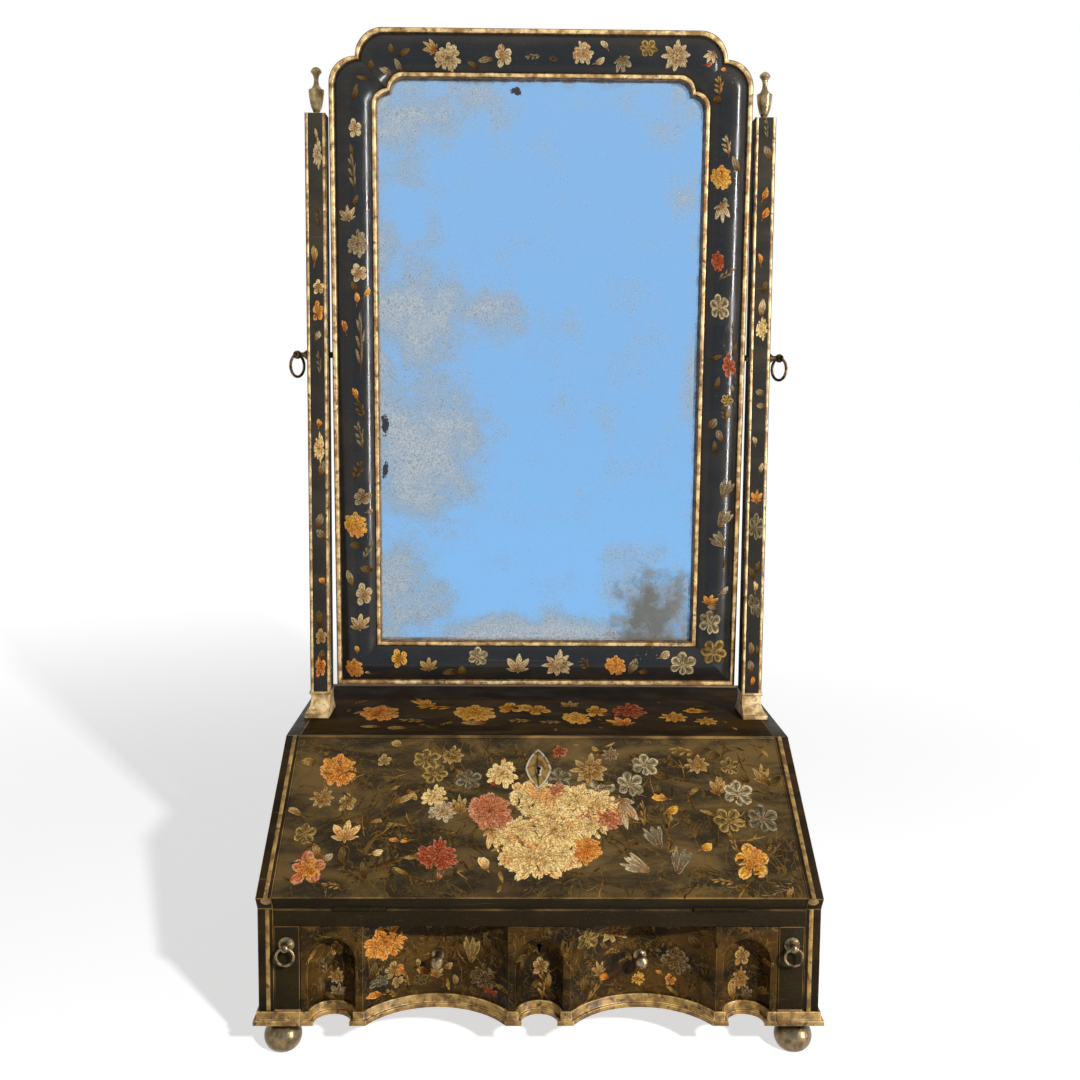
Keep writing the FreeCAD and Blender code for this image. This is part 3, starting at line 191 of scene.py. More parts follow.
FALL_SPRAYS = """
peony orange -182 135 34 37 0; sprig brown -197 159 19 29 80; leaf gold -210 145 12 14 80;
blossom gold -141 146 14 14 0; bud gold -130 165 13 13 60; outline gold -103 147 24 25 0;
star gold -79 152 25 23 0; outline gold -94 130 23 22 40; outline grey -64 124 23 24 0;
carnation cream -33 131 30 32 0; leaf red -39 122 12 14 70; carnation cream -93 105 25 25 0;
carnation pale -85 89 27 23 0; tulip gold -70 96 14 23 10; bud gold -123 101 11 27 -60;
leaf brown -116 106 6 24 -60; star gold -192 103 23 24 0; blossom gold -170 98 18 20 0;
sprig brown -158 98 11 18 -20; bud gold -213 87 11 21 60; outline gold -203 64 18 23 0;
tulip cream -168 67 27 24 0; leaf brown -168 42 9 20 0; bud cream -140 45 11 13 -70;
bud orange -124 58 8 12 80; bud orange -114 58 8 12 100; peony red -88 42 37 27 0;
tulip red -86 54 13 17 0; blossom pink -196 29 33 34 0; carnation orange -196 29 22 23 0;
leaf gold -190 47 9 17 20; leaf pale -180 40 9 11 -50; peony pink -43 89 40 41 0;
tulip cream -39 60 19 28 200; bud cream -47 33 15 18 30; bud pink -85 22 7 11 0;
sprig brown -147 100 9 23 -20; sprig brown -159 23 20 26 60; sprig brown -130 35 22 29 -70;
sprig brown -112 72 9 28 30; sprig brown -134 83 9 25 20; sprig gold -172 13 11 20 80;
leaf brown -148 28 9 18 10; sprig brown -82 69 11 24 75; sprig brown -101 18 11 20 70;
peony cream -4 104 46 47 0; peony cream 8 84 42 42 30; peony cream -16 69 30 30 60;
peony cream -9 41 50 43 10; carnation cream -25 41 23 25 0; carnation cream 8 58 48 48 0;
peony cream 12 103 43 39 15; peony cream 35 101 40 39 40; carnation cream 13 69 48 49 0;
carnation cream 0 41 62 47 20; peony cream 25 69 39 41 50; peony cream 21 44 38 36 70;
peony orange 41 51 25 24 0; peony pink 59 84 29 29 0; star gold 47 136 36 37 0;
carnation pink 50 134 17 18 0; outline pale 52 112 31 28 0; outline pale 82 119 23 30 10;
tulip pale 75 89 26 37 190; outline pale 97 141 24 27 0; outline grey 18 125 22 26 0;
star grey 67 154 17 17 0; blossom red 20 157 16 15 0; sprig gold 136 158 19 29 80;
star gold 146 142 24 23 0; outline gold 175 140 17 21 0; tulip gold 203 131 17 23 0;
bud yellow 110 104 14 18 80; bud yellow 116 90 14 16 -60; leaf brown 107 113 9 12 0;
bud yellow 142 51 13 15 -60; outline pale 178 109 26 30 0; outline gold 166 79 26 29 30;
outline grey 196 81 26 32 0; tulip gold 161 117 16 22 0; blossom yellow 180 36 34 37 0;
carnation orange 184 41 19 20 0; bell grey 100 61 19 24 20; bell pale 82 33 20 25 60;
bell grey 119 37 19 27 -15; leaf brown 81 57 9 10 60; sprig brown 141 25 16 23 70;
sprig gold 168 55 9 28 10; sprig gold 92 84 9 35 0; sprig brown 63 60 15 22 60;
sprig brown 124 144 17 19 60; sprig brown 129 124 12 17 80; leaf brown 111 130 12 16 60;
leaf brown 161 154 13 14 80; leaf brown 186 126 12 12 40; sprig brown 136 99 9 22 10;
sprig brown 128 77 13 15 60; sprig brown 31 25 11 17 80; sprig gold 155 17 11 23 80;
peony cream 52 97 36 34 25; carnation pink 68 92 27 26 0; peony cream 45 76 34 32 10;
carnation pink 45 89 25 24 40; peony cream 2 112 26 24 0; carnation pink 16 112 20 18 0;
peony cream -28 60 24 26 15; carnation orange 36 44 26 22 0; leaf brown -6 78 7 18 35;
leaf brown 4 78 7 18 -40; stem brown 0 66 14 22 0; leaf brown 46 66 7 16 60; stem brown 52 60 12 26 0;
stem brown -30 50 12 34 -20; peony pink -44 90 36 36 20; stem pale 206 10 5 22 70;
stem pale 196 7 6 26 100; stem pale 210 16 6 18 60; stem pale 187 5 5 22 80; stem pale 200 14 5 20 75
"""
SIDE_SPRAYS = """
peony orange -60 150 38 38 0; star gold 20 175 30 30 0; tulip cream 70 120 26 30 10;
blossom gold -110 95 24 24 0; bud orange 120 180 12 20 -30; outline pale 100 90 30 32 0;
carnation cream -10 90 32 32 0; sprig brown -80 60 14 34 60; sprig brown 60 60 14 34 -50;
leaf gold -30 130 10 22 40; leaf brown 45 150 10 22 -40; leaf brown 140 130 10 24 10;
bud gold -130 60 12 20 20
"""
DRAWER_SPRAYS = """
peony orange -131 93 32 31 20; blossom gold -124 66 18 15 0; bud orange -118 64 9 11 60;
bud orange -138 49 11 16 75; outline grey -136 60 15 11 0; blossom gold -121 55 12 9 30;
bud orange -99 61 11 13 70; tulip gold -88 60 12 12 0; bud gold -79 65 9 11 -60;
bud gold -104 68 7 9 10; bud gold -95 100 7 8 0; bud gold -83 101 8 8 20; leaf brown -99 91 8 9 60;
bud gold -72 52 8 12 0; bell gold -58 82 16 23 0; carnation brown -61 106 19 12 0;
carnation brown -48 60 24 24 0; tulip red -42 50 15 9 0; leaf brown -44 91 9 16 10;
sprig brown -35 78 11 22 5; sprig gold -113 53 8 24 15; sprig brown -110 84 19 18 40;
leaf brown -77 88 12 12 50; sprig brown -110 105 11 16 70; outline brown -102 54 12 12 0;
leaf brown -140 71 8 15 -20; blossom gold -172 87 13 14 0; star gold -172 62 15 15 0;
sprig grey -182 70 8 19 10; tulip grey -171 50 15 12 0; leaf brown -185 53 8 20 0;
blossom gold 1 71 16 16 0; sprig gold 3 53 14 27 0; sprig brown -7 91 8 15 10; leaf gold 8 58 8 14 -10;
star gold 65 101 32 29 0; outline gold 41 96 19 19 0; sprig brown 44 77 17 17 30;
tulip gold 51 67 12 15 20; leaf orange 56 59 8 10 70; sprig gold 48 49 8 32 -40;
carnation yellow 86 54 12 12 0; bud yellow 104 60 6 7 60; blossom orange 113 55 11 11 0;
carnation brown 117 73 26 23 0; sprig brown 116 88 11 23 60; star brown 112 106 25 12 0;
leaf gold 100 106 7 14 0; leaf brown 132 94 12 12 30; sprig brown 130 57 11 17 -10;
sprig brown 140 74 11 25 0; leaf brown 39 57 11 15 10; sprig brown 69 48 10 15 60;
blossom gold 173 80 15 18 0; star gold 172 60 17 21 0; leaf gold 165 51 10 17 10;
leaf brown 167 90 10 14 0; tulip brown 178 48 10 12 0
"""


class Nodes:
    """Adds nodes to one node tree by short calls."""

    def __init__(self, tree: bpy.types.NodeTree) -> None:
        """Keeps the tree that the nodes go into."""
        self.tree = tree

    def feed(self, socket: Socket, value: Any) -> None:
        """Links a socket to an output, or sets its plain value.

        Args:
            socket: The input socket.
            value: An output socket, or a plain value.
        """
        if isinstance(value, Socket):
            self.tree.links.new(value, socket)
        else:
            socket.default_value = value

    def add(self, kind: str, inputs: Optional[dict] = None, **settings: Any) -> bpy.types.Node:
        """Adds a node.

        Args:
            kind: Blender's name of the node type.
            inputs: Values or output sockets by input name or number.
            settings: Properties of the node, set before its inputs.

        Returns:
            The new node.
        """
        node = self.tree.nodes.new(kind)
        for name, value in settings.items():
            setattr(node, name, value)
        for name, value in (inputs or {}).items():
            self.feed(node.inputs[name], value)
        return node

    def sum(self, operation: str, first: Any, second: Any = 0.0) -> Socket:
        """One sum, by Blender's name, on one or two numbers or sockets."""
        return self.add("ShaderNodeMath", {0: first, 1: second}, operation=operation).outputs[0]

    def vector(self, operation: str, first: Any, second: Any) -> Socket:
        """One sum, by Blender's name, on two vectors or sockets."""
        node = self.add("ShaderNodeVectorMath", {0: first, 1: second}, operation=operation)
        return node.outputs["Vector"]

    def scaled(self, vector: Any, factor: Any) -> Socket:
        """A vector made longer by a number."""
        inputs = {"Vector": vector, "Scale": factor}
        return self.add("ShaderNodeVectorMath", inputs, operation="SCALE").outputs["Vector"]

    def length(self, vector: Socket) -> Socket:
        """The length of a vector."""
        return self.add("ShaderNodeVectorMath", {0: vector}, operation="LENGTH").outputs["Value"]

    def times(self, first: Any, second: Any) -> Socket:
        """The product of two numbers."""
        return self.sum("MULTIPLY", first, second)

    def most(self, first: Any, second: Any) -> Socket:
        """The larger of two numbers."""
        return self.sum("MAXIMUM", first, second)

    def times_plus(self, first: Any, second: Any, third: Any) -> Socket:
        """Two numbers multiplied, and a third one added."""
        inputs = {0: first, 1: second, 2: third}
        return self.add("ShaderNodeMath", inputs, operation="MULTIPLY_ADD").outputs[0]

    def seen(self) -> Socket:
        """Tells what is looked at from what only gives light.

        Returns:
            One for camera, glossy and transmission rays, nought for the light on things.
        """
        path = self.add("ShaderNodeLightPath").outputs
        shown = self.most(path["Is Camera Ray"], path["Is Glossy Ray"])
        return self.most(shown, path["Is Transmission Ray"])


class Shader(Nodes):
    """One procedural material, on the piece's own object coordinates."""

    def __init__(self, name: str) -> None:
        """Starts a material with one principled surface.

        Args:
            name: Name of the material.
        """
        self.material = bpy.data.materials.new(name)
        self.material.use_nodes = True
        super().__init__(self.material.node_tree)
        self.tree.nodes.clear()
        self.surface = self.add("ShaderNodeBsdfPrincipled")
        lit = self.surface.outputs["BSDF"]
        self.output = self.add("ShaderNodeOutputMaterial", {"Surface": lit})
        self.place = self.add("ShaderNodeTexCoord").outputs["Object"]

    def stretched(self, stretch: Sequence[float]) -> Socket:
        """Object coordinates scaled on x, y and z."""
        inputs = {"Vector": self.place, "Scale": tuple(stretch)}
        return self.add("ShaderNodeMapping", inputs).outputs["Vector"]

    def noise(self, scale: float, detail: float = 4.0, stretch: Sequence[float] = (1, 1, 1),
              warp: float = 0.0) -> Socket:
        """Cloudy noise.

        Args:
            scale: Clouds to the metre.
            detail: Finer layers.
            stretch: Scale on x, y and z.
            warp: How far the clouds are pulled about.

        Returns:
            The noise from 0 to 1.
        """
        inputs = {"Vector": self.stretched(stretch), "Scale": scale, "Detail": detail,
                  "Roughness": 0.58, "Distortion": warp}
        return self.add("ShaderNodeTexNoise", inputs).outputs["Fac"]

    def spots(self, scale: float, detail: float, *fading: float) -> Socket:
        """Cloudy noise with a smooth step, from the step's start and end and what it goes from and to."""
        return self.fade(self.noise(scale, detail), *fading)

    def strokes(self, scale: float, width: float, stretch: Sequence[float] = (1, 1, 1)) -> Socket:
        """Thin wandering brush strokes, where cloudy noise crosses its middle.

        Args:
            scale: Clouds to the metre.
            width: Line width as a share of the noise's range.
            stretch: Scale on x, y and z.

        Returns:
            One on the strokes, nought between them.
        """
        drift = self.sum("SUBTRACT", self.noise(scale, 2.0, stretch, 0.7), 0.5)
        return self.fade(self.sum("ABSOLUTE", drift), width, 0.25 * width)

    def cracks(self, scale: float, width: float) -> Socket:
        """Fine crackle lines.

        Args:
            scale: Islands to the metre.
            width: Line width as a share of an island.

        Returns:
            One on the lines, nought between them.
        """
        coarse = {"Vector": self.place, "Scale": scale * 0.7, "Detail": 3.0}
        wander = self.add("ShaderNodeTexNoise", coarse).outputs["Color"]
        sway = 0.9 / scale
        moved = self.vector("MULTIPLY_ADD", wander, (sway, sway, sway))
        self.feed(moved.node.inputs[2], self.place)
        inputs = {"Vector": moved, "Scale": scale}
        islands = self.add("ShaderNodeTexVoronoi", inputs, feature="DISTANCE_TO_EDGE")
        return self.fade(islands.outputs["Distance"], width, 0.0)

    def fade(self, value: Any, start: float, end: float, low: float = 0.0,
             high: float = 1.0) -> Socket:
        """A smooth step from low to high as the value goes from start to end.

        Args:
            value: The driving socket.
            start: Where the step starts.
            end: Where the step ends.
            low: Result at the start.
            high: Result at the end.

        Returns:
            The stepped value.
        """
        inputs = {"Value": value, "From Min": start, "From Max": end, "To Min": low, "To Max": high}
        return self.add("ShaderNodeMapRange", inputs, interpolation_type="SMOOTHSTEP").outputs["Result"]

    def mix(self, factor: Any, first: Any, second: Any, way: str = "MIX") -> Socket:
        """Mixes two colours.

        Args:
            factor: Share of the second colour.
            first: A colour or socket.
            second: A colour or socket.
            way: Blender's name of the mixing.

        Returns:
            The mixed colour.
        """
        inputs = {0: factor, 6: first, 7: second}
        return self.add("ShaderNodeMix", inputs, data_type="RGBA", blend_type=way).outputs[2]

    def attribute(self, name: str, part: str = "Fac") -> Socket:
        """A value that the mesh carries."""
        return self.add("ShaderNodeAttribute", attribute_name=name).outputs[part]

    def relief(self, height: Any, depth: float, strength: float = 1.0) -> None:
        """Bumps the surface.

        Args:
            height: Height socket from 0 to 1.
            depth: Height of a full step, in metres.
            strength: Strength of the bump.
        """
        bump = self.add("ShaderNodeBump", {"Height": height, "Distance": depth, "Strength": strength})
        self.feed(self.surface.inputs["Normal"], bump.outputs["Normal"])

    def dress(self, **values: Any) -> Material:
        """Sets the surface's inputs.

        Args:
            values: Values or sockets by input name, with underscores for blanks.

        Returns:
            The finished material.
        """
        for name, value in values.items():
            self.feed(self.surface.inputs[name.replace("_", " ").title().replace("Ior", "IOR")], value)
        return self.material


@dataclass(frozen=True)
class Lacquer:
    """Old black japanning, rubbed brown in places, with crackle, scratches, dust and a painted tangle."""

    name: str
    ground: Colour
    rubbed: Colour
    rub: float
    gloss: float
    shine: float = 0.2
    tangle: float = 0.0
    stroke: tuple[float, float, float] = (1.0, 2.5, 2.5)

    def material(self) -> Material:
        """Builds the lacquer.

        Returns:
            The finished lacquer.
        """
        shader = Shader(self.name)
        clouds = shader.noise(14.0, 7.0, self.stroke, 0.6)
        patches = shader.fade(clouds, 0.40, 0.68, 0.0, self.rub)
        colour = shader.mix(patches, self.ground, self.rubbed)
        for way in ((1.0, 12.0, 12.0), (12.0, 12.0, 1.0)):
            rubs = shader.fade(shader.noise(80.0, 5.0, way), 0.54, 0.76, 0.0, 0.35 * self.rub)
            colour = shader.mix(rubs, colour, self.rubbed)
        if self.tangle:
            for scale, way, ink in ((60.0, (1.0, 0.6, 0.6), tone(120, 88, 36)),
                                    (105.0, (0.7, 1.0, 1.0), tone(108, 86, 42)),
                                    (150.0, (1.0, 1.0, 0.7), tone(92, 66, 26))):
                stems = shader.times(shader.strokes(scale, 0.022, way),
                                     shader.spots(0.3 * scale, 3.0, 0.42, 0.60))
                colour = shader.mix(shader.times(stems, self.tangle), colour, ink)
        crackle = shader.cracks(160.0, 0.03)
        lines = shader.times(crackle, shader.spots(9.0, 4.0, 0.45, 0.6))
        colour = shader.mix(shader.times(lines, 0.12), colour, tone(92, 74, 44))
        scratches = shader.fade(shader.noise(45.0, 2.0, (0.25, 14.0, 14.0), 1.2), 0.70, 0.74, 0.0, 0.30)
        colour = shader.mix(scratches, colour, tone(126, 108, 80))
        dust = shader.spots(900.0, 1.0, 0.70, 0.78, 0.0, 0.25)
        colour = shader.mix(dust, colour, tone(140, 122, 90))
        rough = shader.spots(30.0, 5.0, 0.3, 0.7, self.gloss - 0.07, self.gloss + 0.10)
        shader.relief(shader.times_plus(lines, -0.35, shader.noise(38.0, 2.0)), 0.0004, 0.5)
        return shader.dress(base_color=colour, roughness=rough, specular_ior_level=self.shine)


@dataclass(frozen=True)
class Gilt:
    """Old water gilding rubbed through to red-brown clay and dark size."""

    name: str
    leaf: Colour
    bright: Colour
    clay: Colour
    wear: float
    metal: float = 0.5
    rough: float = 0.36

    def material(self) -> Material:
        """Builds the gilding.

        Returns:
            The finished gilding.
        """
        shader = Shader(self.name)
        sheen = shader.spots(110.0, 6.0, 0.36, 0.64)
        colour = shader.mix(sheen, self.leaf, self.bright)
        thin = shader.noise(170.0, 6.0, warp=0.5)
        rubbed = shader.fade(thin, 0.66 - self.wear, 0.86 - self.wear)
        colour = shader.mix(rubbed, colour, self.clay)
        chips = shader.spots(480.0, 4.0, 0.74 - 0.4 * self.wear, 0.84 - 0.4 * self.wear)
        colour = shader.mix(chips, colour, tone(44, 30, 18))
        bare = shader.most(rubbed, chips)
        shader.relief(shader.sum("SUBTRACT", shader.noise(300.0, 3.0), bare), 0.0003, 0.6)
        return shader.dress(base_color=colour, metallic=shader.fade(bare, 0.0, 1.0, self.metal, 0.05),
                            roughness=shader.fade(bare, 0.0, 1.0, self.rough, 0.66))


@dataclass(frozen=True)
class Metal:
    """A cast or turned metal with tarnish and small pits."""

    name: str
    bare: Colour
    tarnish: Colour
    age: float
    rough: float

    def material(self) -> Material:
        """Builds the metal.

        Returns:
            The finished metal.
        """
        shader = Shader(self.name)
        clouds = shader.noise(130.0, 6.0, warp=0.6)
        aged = shader.fade(clouds, 0.62 - self.age, 0.82 - self.age)
        colour = shader.mix(aged, self.bare, self.tarnish)
        pits = shader.spots(1400.0, 2.0, 0.64, 0.74)
        colour = shader.mix(shader.times(pits, 0.5), colour, self.tarnish)
        shader.relief(shader.sum("SUBTRACT", shader.noise(500.0, 3.0), pits), 0.00015, 0.45)
        rough = shader.fade(aged, 0.0, 1.0, self.rough, self.rough + 0.22)
        return shader.dress(base_color=colour, metallic=1.0, roughness=rough)


@dataclass(frozen=True)
class BareWood:
    """Unpainted softwood inside and behind, with long grain and dust."""

    name: str
    early: Colour
    late: Colour
    grain: tuple[float, float, float]

    def material(self) -> Material:
        """Builds the wood.

        Returns:
            The finished wood.
        """
        shader = Shader(self.name)
        rings = shader.noise(95.0, 4.0, self.grain, 0.8)
        pores = shader.noise(700.0, 3.0, self.grain)
        colour = shader.mix(shader.fade(rings, 0.38, 0.62), self.early, self.late)
        colour = shader.mix(shader.fade(pores, 0.55, 0.7, 0.0, 0.45), colour, tone(58, 40, 24))
        stains = shader.spots(14.0, 5.0, 0.45, 0.7, 0.0, 0.5)
        colour = shader.mix(stains, colour, tone(70, 52, 34))
        shader.relief(pores, 0.0003, 0.5)
        return shader.dress(base_color=colour, roughness=shader.fade(pores, 0.3, 0.7, 0.55, 0.75))


@dataclass(frozen=True)
class Bloom:
    """A soft cloud in the plate's silver, in millimetres on the plate: grey foxing, a bare spot or a band of
    painted shadow.
    """

    across: float
    up: float
    wide: float
    tall: float
    weight: float


@dataclass(frozen=True)
class OldPlate:
    """Old silvered glass: bright silver, grey foxing along the edges, bare spots, and bands of painted
    shadow along the top and right edges.
    """

    name: str
    centre_height: float
    blooms: tuple[Bloom, ...]
    gloom: tuple[Bloom, ...]
    bare: tuple[Bloom, ...]

    def clouds(self, shader: Shader, marks: Iterable[Bloom]) -> Socket:
        """The strongest of several soft clouds.

        Args:
            shader: The material under way.
            marks: The clouds.

        Returns:
            Cloud cover from 0 to 1.
        """
        cover: Any = 0.0
        for mark in marks:
            shift = (-mark.across * MM, 0.0, -(self.centre_height + mark.up * MM))
            moved = shader.vector("ADD", shader.place, shift)
            shares = (1.0 / (mark.wide * MM), 0.0, 1.0 / (mark.tall * MM))
            near = shader.length(shader.vector("MULTIPLY", moved, shares))
            cover = shader.most(cover, shader.fade(near, 1.35, 0.0, 0.0, mark.weight))
        return cover

    def ragged(self, shader: Shader, marks: Iterable[Bloom], scale: float, detail: float,
               edges: tuple[float, float, float, float]) -> Socket:
        """Clouds with a ragged edge.

        Args:
            shader: The material under way.
            marks: The clouds.
            scale: Tatters to the metre.
            detail: Finer layers of the tatters.
            edges: The noise's range that counts, and what it takes away and adds.

        Returns:
            Cloud cover with the tatters added.
        """
        tatters = shader.spots(scale, detail, *edges)
        return shader.sum("ADD", self.clouds(shader, marks), tatters)

    def material(self) -> Material:
        """Builds the plate.

        Returns:
            The finished plate.
        """
        shader = Shader(self.name)
        haze = self.ragged(shader, self.blooms, 26.0, 9.0, (0.25, 0.75, -0.34, 0.30))
        haze = shader.fade(haze, -0.15, 1.0)
        grain = shader.times_plus(haze, 0.14, shader.noise(760.0, 2.0))
        specks = shader.fade(grain, 0.68, 0.78, 0.0, 0.75)
        frost = shader.times(haze, shader.spots(620.0, 3.0, 0.3, 0.7, 0.55, 1.0))
        grey = shader.most(shader.times(frost, 0.85), specks)
        # Dark foxing, and bands of painted shadow along the top and right edges below the slip.
        gloom = self.ragged(shader, self.gloom, 60.0, 8.0, (0.3, 0.7, -0.35, 0.35))
        gloom = shader.fade(gloom, 0.34, 1.25)
        gone = self.ragged(shader, self.bare, 160.0, 5.0, (0.3, 0.7, -0.3, 0.3))
        gone = shader.fade(gone, 0.40, 0.5)
        silver = tone(236, 240, 244)
        colour = shader.mix(shader.fade(grey, 0.0, 0.5), silver, tone(194, 196, 194))
        colour = shader.mix(specks, colour, tone(104, 98, 88))
        colour = shader.mix(shader.times(gloom, 0.85), colour, tone(98, 92, 80))
        colour = shader.mix(gone, colour, tone(58, 58, 60))
        dull = shader.most(shader.most(grey, shader.times(gloom, 0.8)), gone)
        rough = shader.fade(dull, 0.0, 1.0, 0.03, 0.12)
        metal = shader.fade(dull, 0.0, 1.0, 1.0, 0.12)
        return shader.dress(base_color=colour, metallic=metal, roughness=rough, specular_ior_level=0.2)


@dataclass(frozen=True)
class FlowerPaint:
    """Thin oil paint of the sprays: inked rims, streaked petals, worn through to the lacquer."""

    name: str
    lacquer: Colour

    def material(self) -> Material:
        """Builds the paint from what the petals carry.

        Returns:
            The finished paint.
        """
        shader = Shader(self.name)
        side = shader.attribute("across")
        across = shader.sum("ABSOLUTE", side)
        along = shader.attribute("along")
        ink = shader.attribute("ink", "Color")
        deep = shader.mix(1.0, ink, tone(156, 114, 74), "MULTIPLY")
        light = shader.mix(0.3, ink, tone(255, 240, 200))
        dark = shader.mix(0.75, deep, self.lacquer)
        blush = shader.mix(1.0, ink, tone(250, 176, 128), "MULTIPLY")
        rim = shader.attribute("rim")
        flush = shader.times(shader.spots(55.0, 4.0, 0.50, 0.66, 0.0, 0.7), rim)
        warm = shader.mix(flush, ink, blush)
        colour = shader.mix(shader.fade(along, 0.0, 0.75), deep, warm)
        colour = shader.mix(shader.fade(shader.attribute("shade"), 0.3, 1.0, 0.75, 0.0), colour, deep)
        sway = shader.times(shader.noise(330.0, 3.0), 10.0)
        brush = shader.sum("SINE", shader.times_plus(side, 8.0, sway))
        colour = shader.mix(shader.fade(brush, -0.1, 0.9, 0.0, 0.6), colour, deep)
        rim_line = shader.times(shader.fade(across, 0.45, 0.7), shader.fade(across, 0.96, 0.84))
        tip_line = shader.times(shader.fade(along, 0.72, 0.88), shader.fade(across, 0.95, 0.6))
        broken = shader.times(rim, shader.spots(150.0, 3.0, 0.40, 0.55, 0.2, 1.0))
        drawn = shader.times(shader.most(rim_line, tip_line), broken)
        colour = shader.mix(shader.times(drawn, 0.6), colour, light)
        curls = shader.strokes(230.0, 0.035)
        colour = shader.mix(shader.times(curls, 0.6), colour, dark)
        colour = shader.mix(shader.fade(across, 0.80, 0.97, 0.0, 0.9), colour, dark)
        strokes = shader.most(drawn, shader.fade(brush, 0.4, 0.95, 0.0, 0.4))
        outline = shader.mix(strokes, shader.mix(0.84, ink, self.lacquer), ink)
        colour = shader.mix(shader.attribute("hollow"), colour, outline)
        rubs = shader.sum("ADD", shader.noise(120.0, 7.0), shader.attribute("fade"))
        worn = shader.fade(rubs, 0.58, 0.80)
        specks = shader.spots(1000.0, 2.0, 0.58, 0.68, 0.0, 0.6)
        colour = shader.mix(shader.most(worn, specks), colour, self.lacquer)
        crackle = shader.cracks(380.0, 0.07)
        colour = shader.mix(shader.times(crackle, 0.45), colour, self.lacquer)
        shader.relief(shader.sum("ADD", brush, shader.noise(900.0, 2.0)), 0.00005, 0.5)
        return shader.dress(base_color=colour, roughness=shader.fade(worn, 0.0, 1.0, 0.6, 0.46),
                            specular_ior_level=0.0)


SOFTWOOD = (tone(150, 112, 70), tone(112, 78, 44))
PLATE_BLOOMS = (
    Bloom(-130, 40, 70, 62, 0.85), Bloom(-115, -92, 88, 84, 0.9), Bloom(-38, 43, 90, 26, 0.5),
    Bloom(-7, -280, 190, 30, 0.9), Bloom(120, -252, 70, 74, 0.7), Bloom(-130, 235, 110, 84, 0.6),
    Bloom(132, 238, 52, 44, 0.45), Bloom(139, 155, 20, 26, 0.4), Bloom(-137, -243, 66, 96, 0.75),
    Bloom(-160, -5, 30, 270, 0.7), Bloom(-101, 127, 18, 30, 0.4), Bloom(156, -60, 18, 240, 0.45),
)
# Dark foxing low on the right; the two long bands along the top and right edges are painted shadow.
PLATE_FOXING_AND_PAINTED_SHADOW = (Bloom(118, -262, 60, 70, 1.25), Bloom(0, 266, 500, 15, 1.0), Bloom(161, 0, 11, 700, 0.8))
PLATE_BARE = (
    Bloom(-151, -68, 5, 14, 1.0), Bloom(-151, -112, 4, 10, 1.0), Bloom(-23, 249, 9, 5, 0.9),
)


class Finishes:
    """Every finish of the piece, made once and known by its name."""

    TABLE = (
        Lacquer("frame_black", tone(38, 37, 36), tone(62, 55, 44), 0.35, 0.17, 0.2),
        Lacquer("post_black", tone(50, 48, 45), tone(82, 74, 60), 0.4, 0.5, 0.004),
        Lacquer("board_black", tone(25, 20, 11), tone(66, 48, 22), 0.5, 0.42, 0.06),
        Lacquer("shelf_black", tone(34, 25, 12), tone(76, 54, 24), 0.55, 0.6, 0.004),
        Lacquer("rail_black", tone(34, 27, 12), tone(54, 44, 22), 0.4, 0.5, 0.06),
        Lacquer("fall_black", tone(41, 34, 23), tone(116, 92, 53), 0.72, 0.48, 0.06, 0.6),
        Lacquer("drawer_black", tone(25, 18, 8), tone(96, 66, 24), 0.75, 0.46, 0.08, 0.75),
        Lacquer("worn_edge", tone(64, 48, 25), tone(160, 122, 64), 1.0, 0.5, 0.1),
        Lacquer("dark_edge", tone(38, 30, 17), tone(108, 84, 46), 0.9, 0.45, 0.1),
        Lacquer("red_lacquer", tone(122, 36, 22), tone(84, 26, 18), 0.7, 0.38),
        Gilt("gilt", tone(150, 106, 50), tone(240, 206, 142), tone(78, 50, 22), 0.15, 0.15, 0.42),
        # Darker gilt for the flanks of the bead and slip: painted shade.
        Gilt("gilt_line", tone(92, 64, 28), tone(140, 104, 54), tone(46, 32, 18), 0.2, 0.2, 0.5),
        Gilt("worn_gilt", tone(104, 74, 28), tone(174, 136, 68), tone(56, 39, 18), 0.16, 0.15, 0.46),
        Gilt("pale_gilt", tone(160, 124, 70), tone(232, 202, 146), tone(100, 72, 38), 0.16, 0.12, 0.5),
        Gilt("foot_gilt", tone(94, 76, 48), tone(140, 118, 82), tone(52, 40, 26), 0.12, 0.6, 0.28),
        Gilt("brass", tone(112, 90, 54), tone(176, 150, 102), tone(60, 46, 28), 0.12, 0.4, 0.26),
        Metal("key_brass", tone(160, 126, 70), tone(98, 74, 38), 0.2, 0.42),
        Metal("key_rim", tone(206, 194, 170), tone(128, 114, 90), 0.14, 0.34),
        Metal("dark_brass", tone(132, 104, 62), tone(52, 42, 30), 0.26, 0.34),
        Metal("pale_metal", tone(160, 134, 98), tone(78, 62, 44), 0.2, 0.36),
        Metal("grey_metal", tone(142, 120, 86), tone(66, 54, 38), 0.2, 0.38),
        Metal("dark_iron", tone(58, 50, 40), tone(34, 28, 22), 0.25, 0.5),
        BareWood("wood_across", *SOFTWOOD, (0.06, 1.0, 1.0)),
        BareWood("wood_deep", *SOFTWOOD, (1.0, 0.06, 1.0)),
        BareWood("wood_upright", tone(138, 100, 62), tone(100, 70, 40), (1.0, 1.0, 0.06)),
        FlowerPaint("flower_paint", tone(34, 28, 18)),
        OldPlate("old_plate", 0.593, PLATE_BLOOMS, PLATE_FOXING_AND_PAINTED_SHADOW, PLATE_BARE),
    )

    def __init__(self) -> None:
        """Builds the materials."""
        self.made = {finish.name: finish.material() for finish in self.TABLE}

    def __getattr__(self, name: str) -> Material:
        """The material of that name."""
        return self.made[name]


def bare_object(name: str, mesh: Mesh) -> Piece:
    """Links a new object at the origin.

    Args:
        name: Name of the piece.
        mesh: Its mesh, with its place in the vertices.

    Returns:
        The object.
    """
    piece = bpy.data.objects.new(name, mesh)
    bpy.context.scene.collection.objects.link(piece)
    return piece


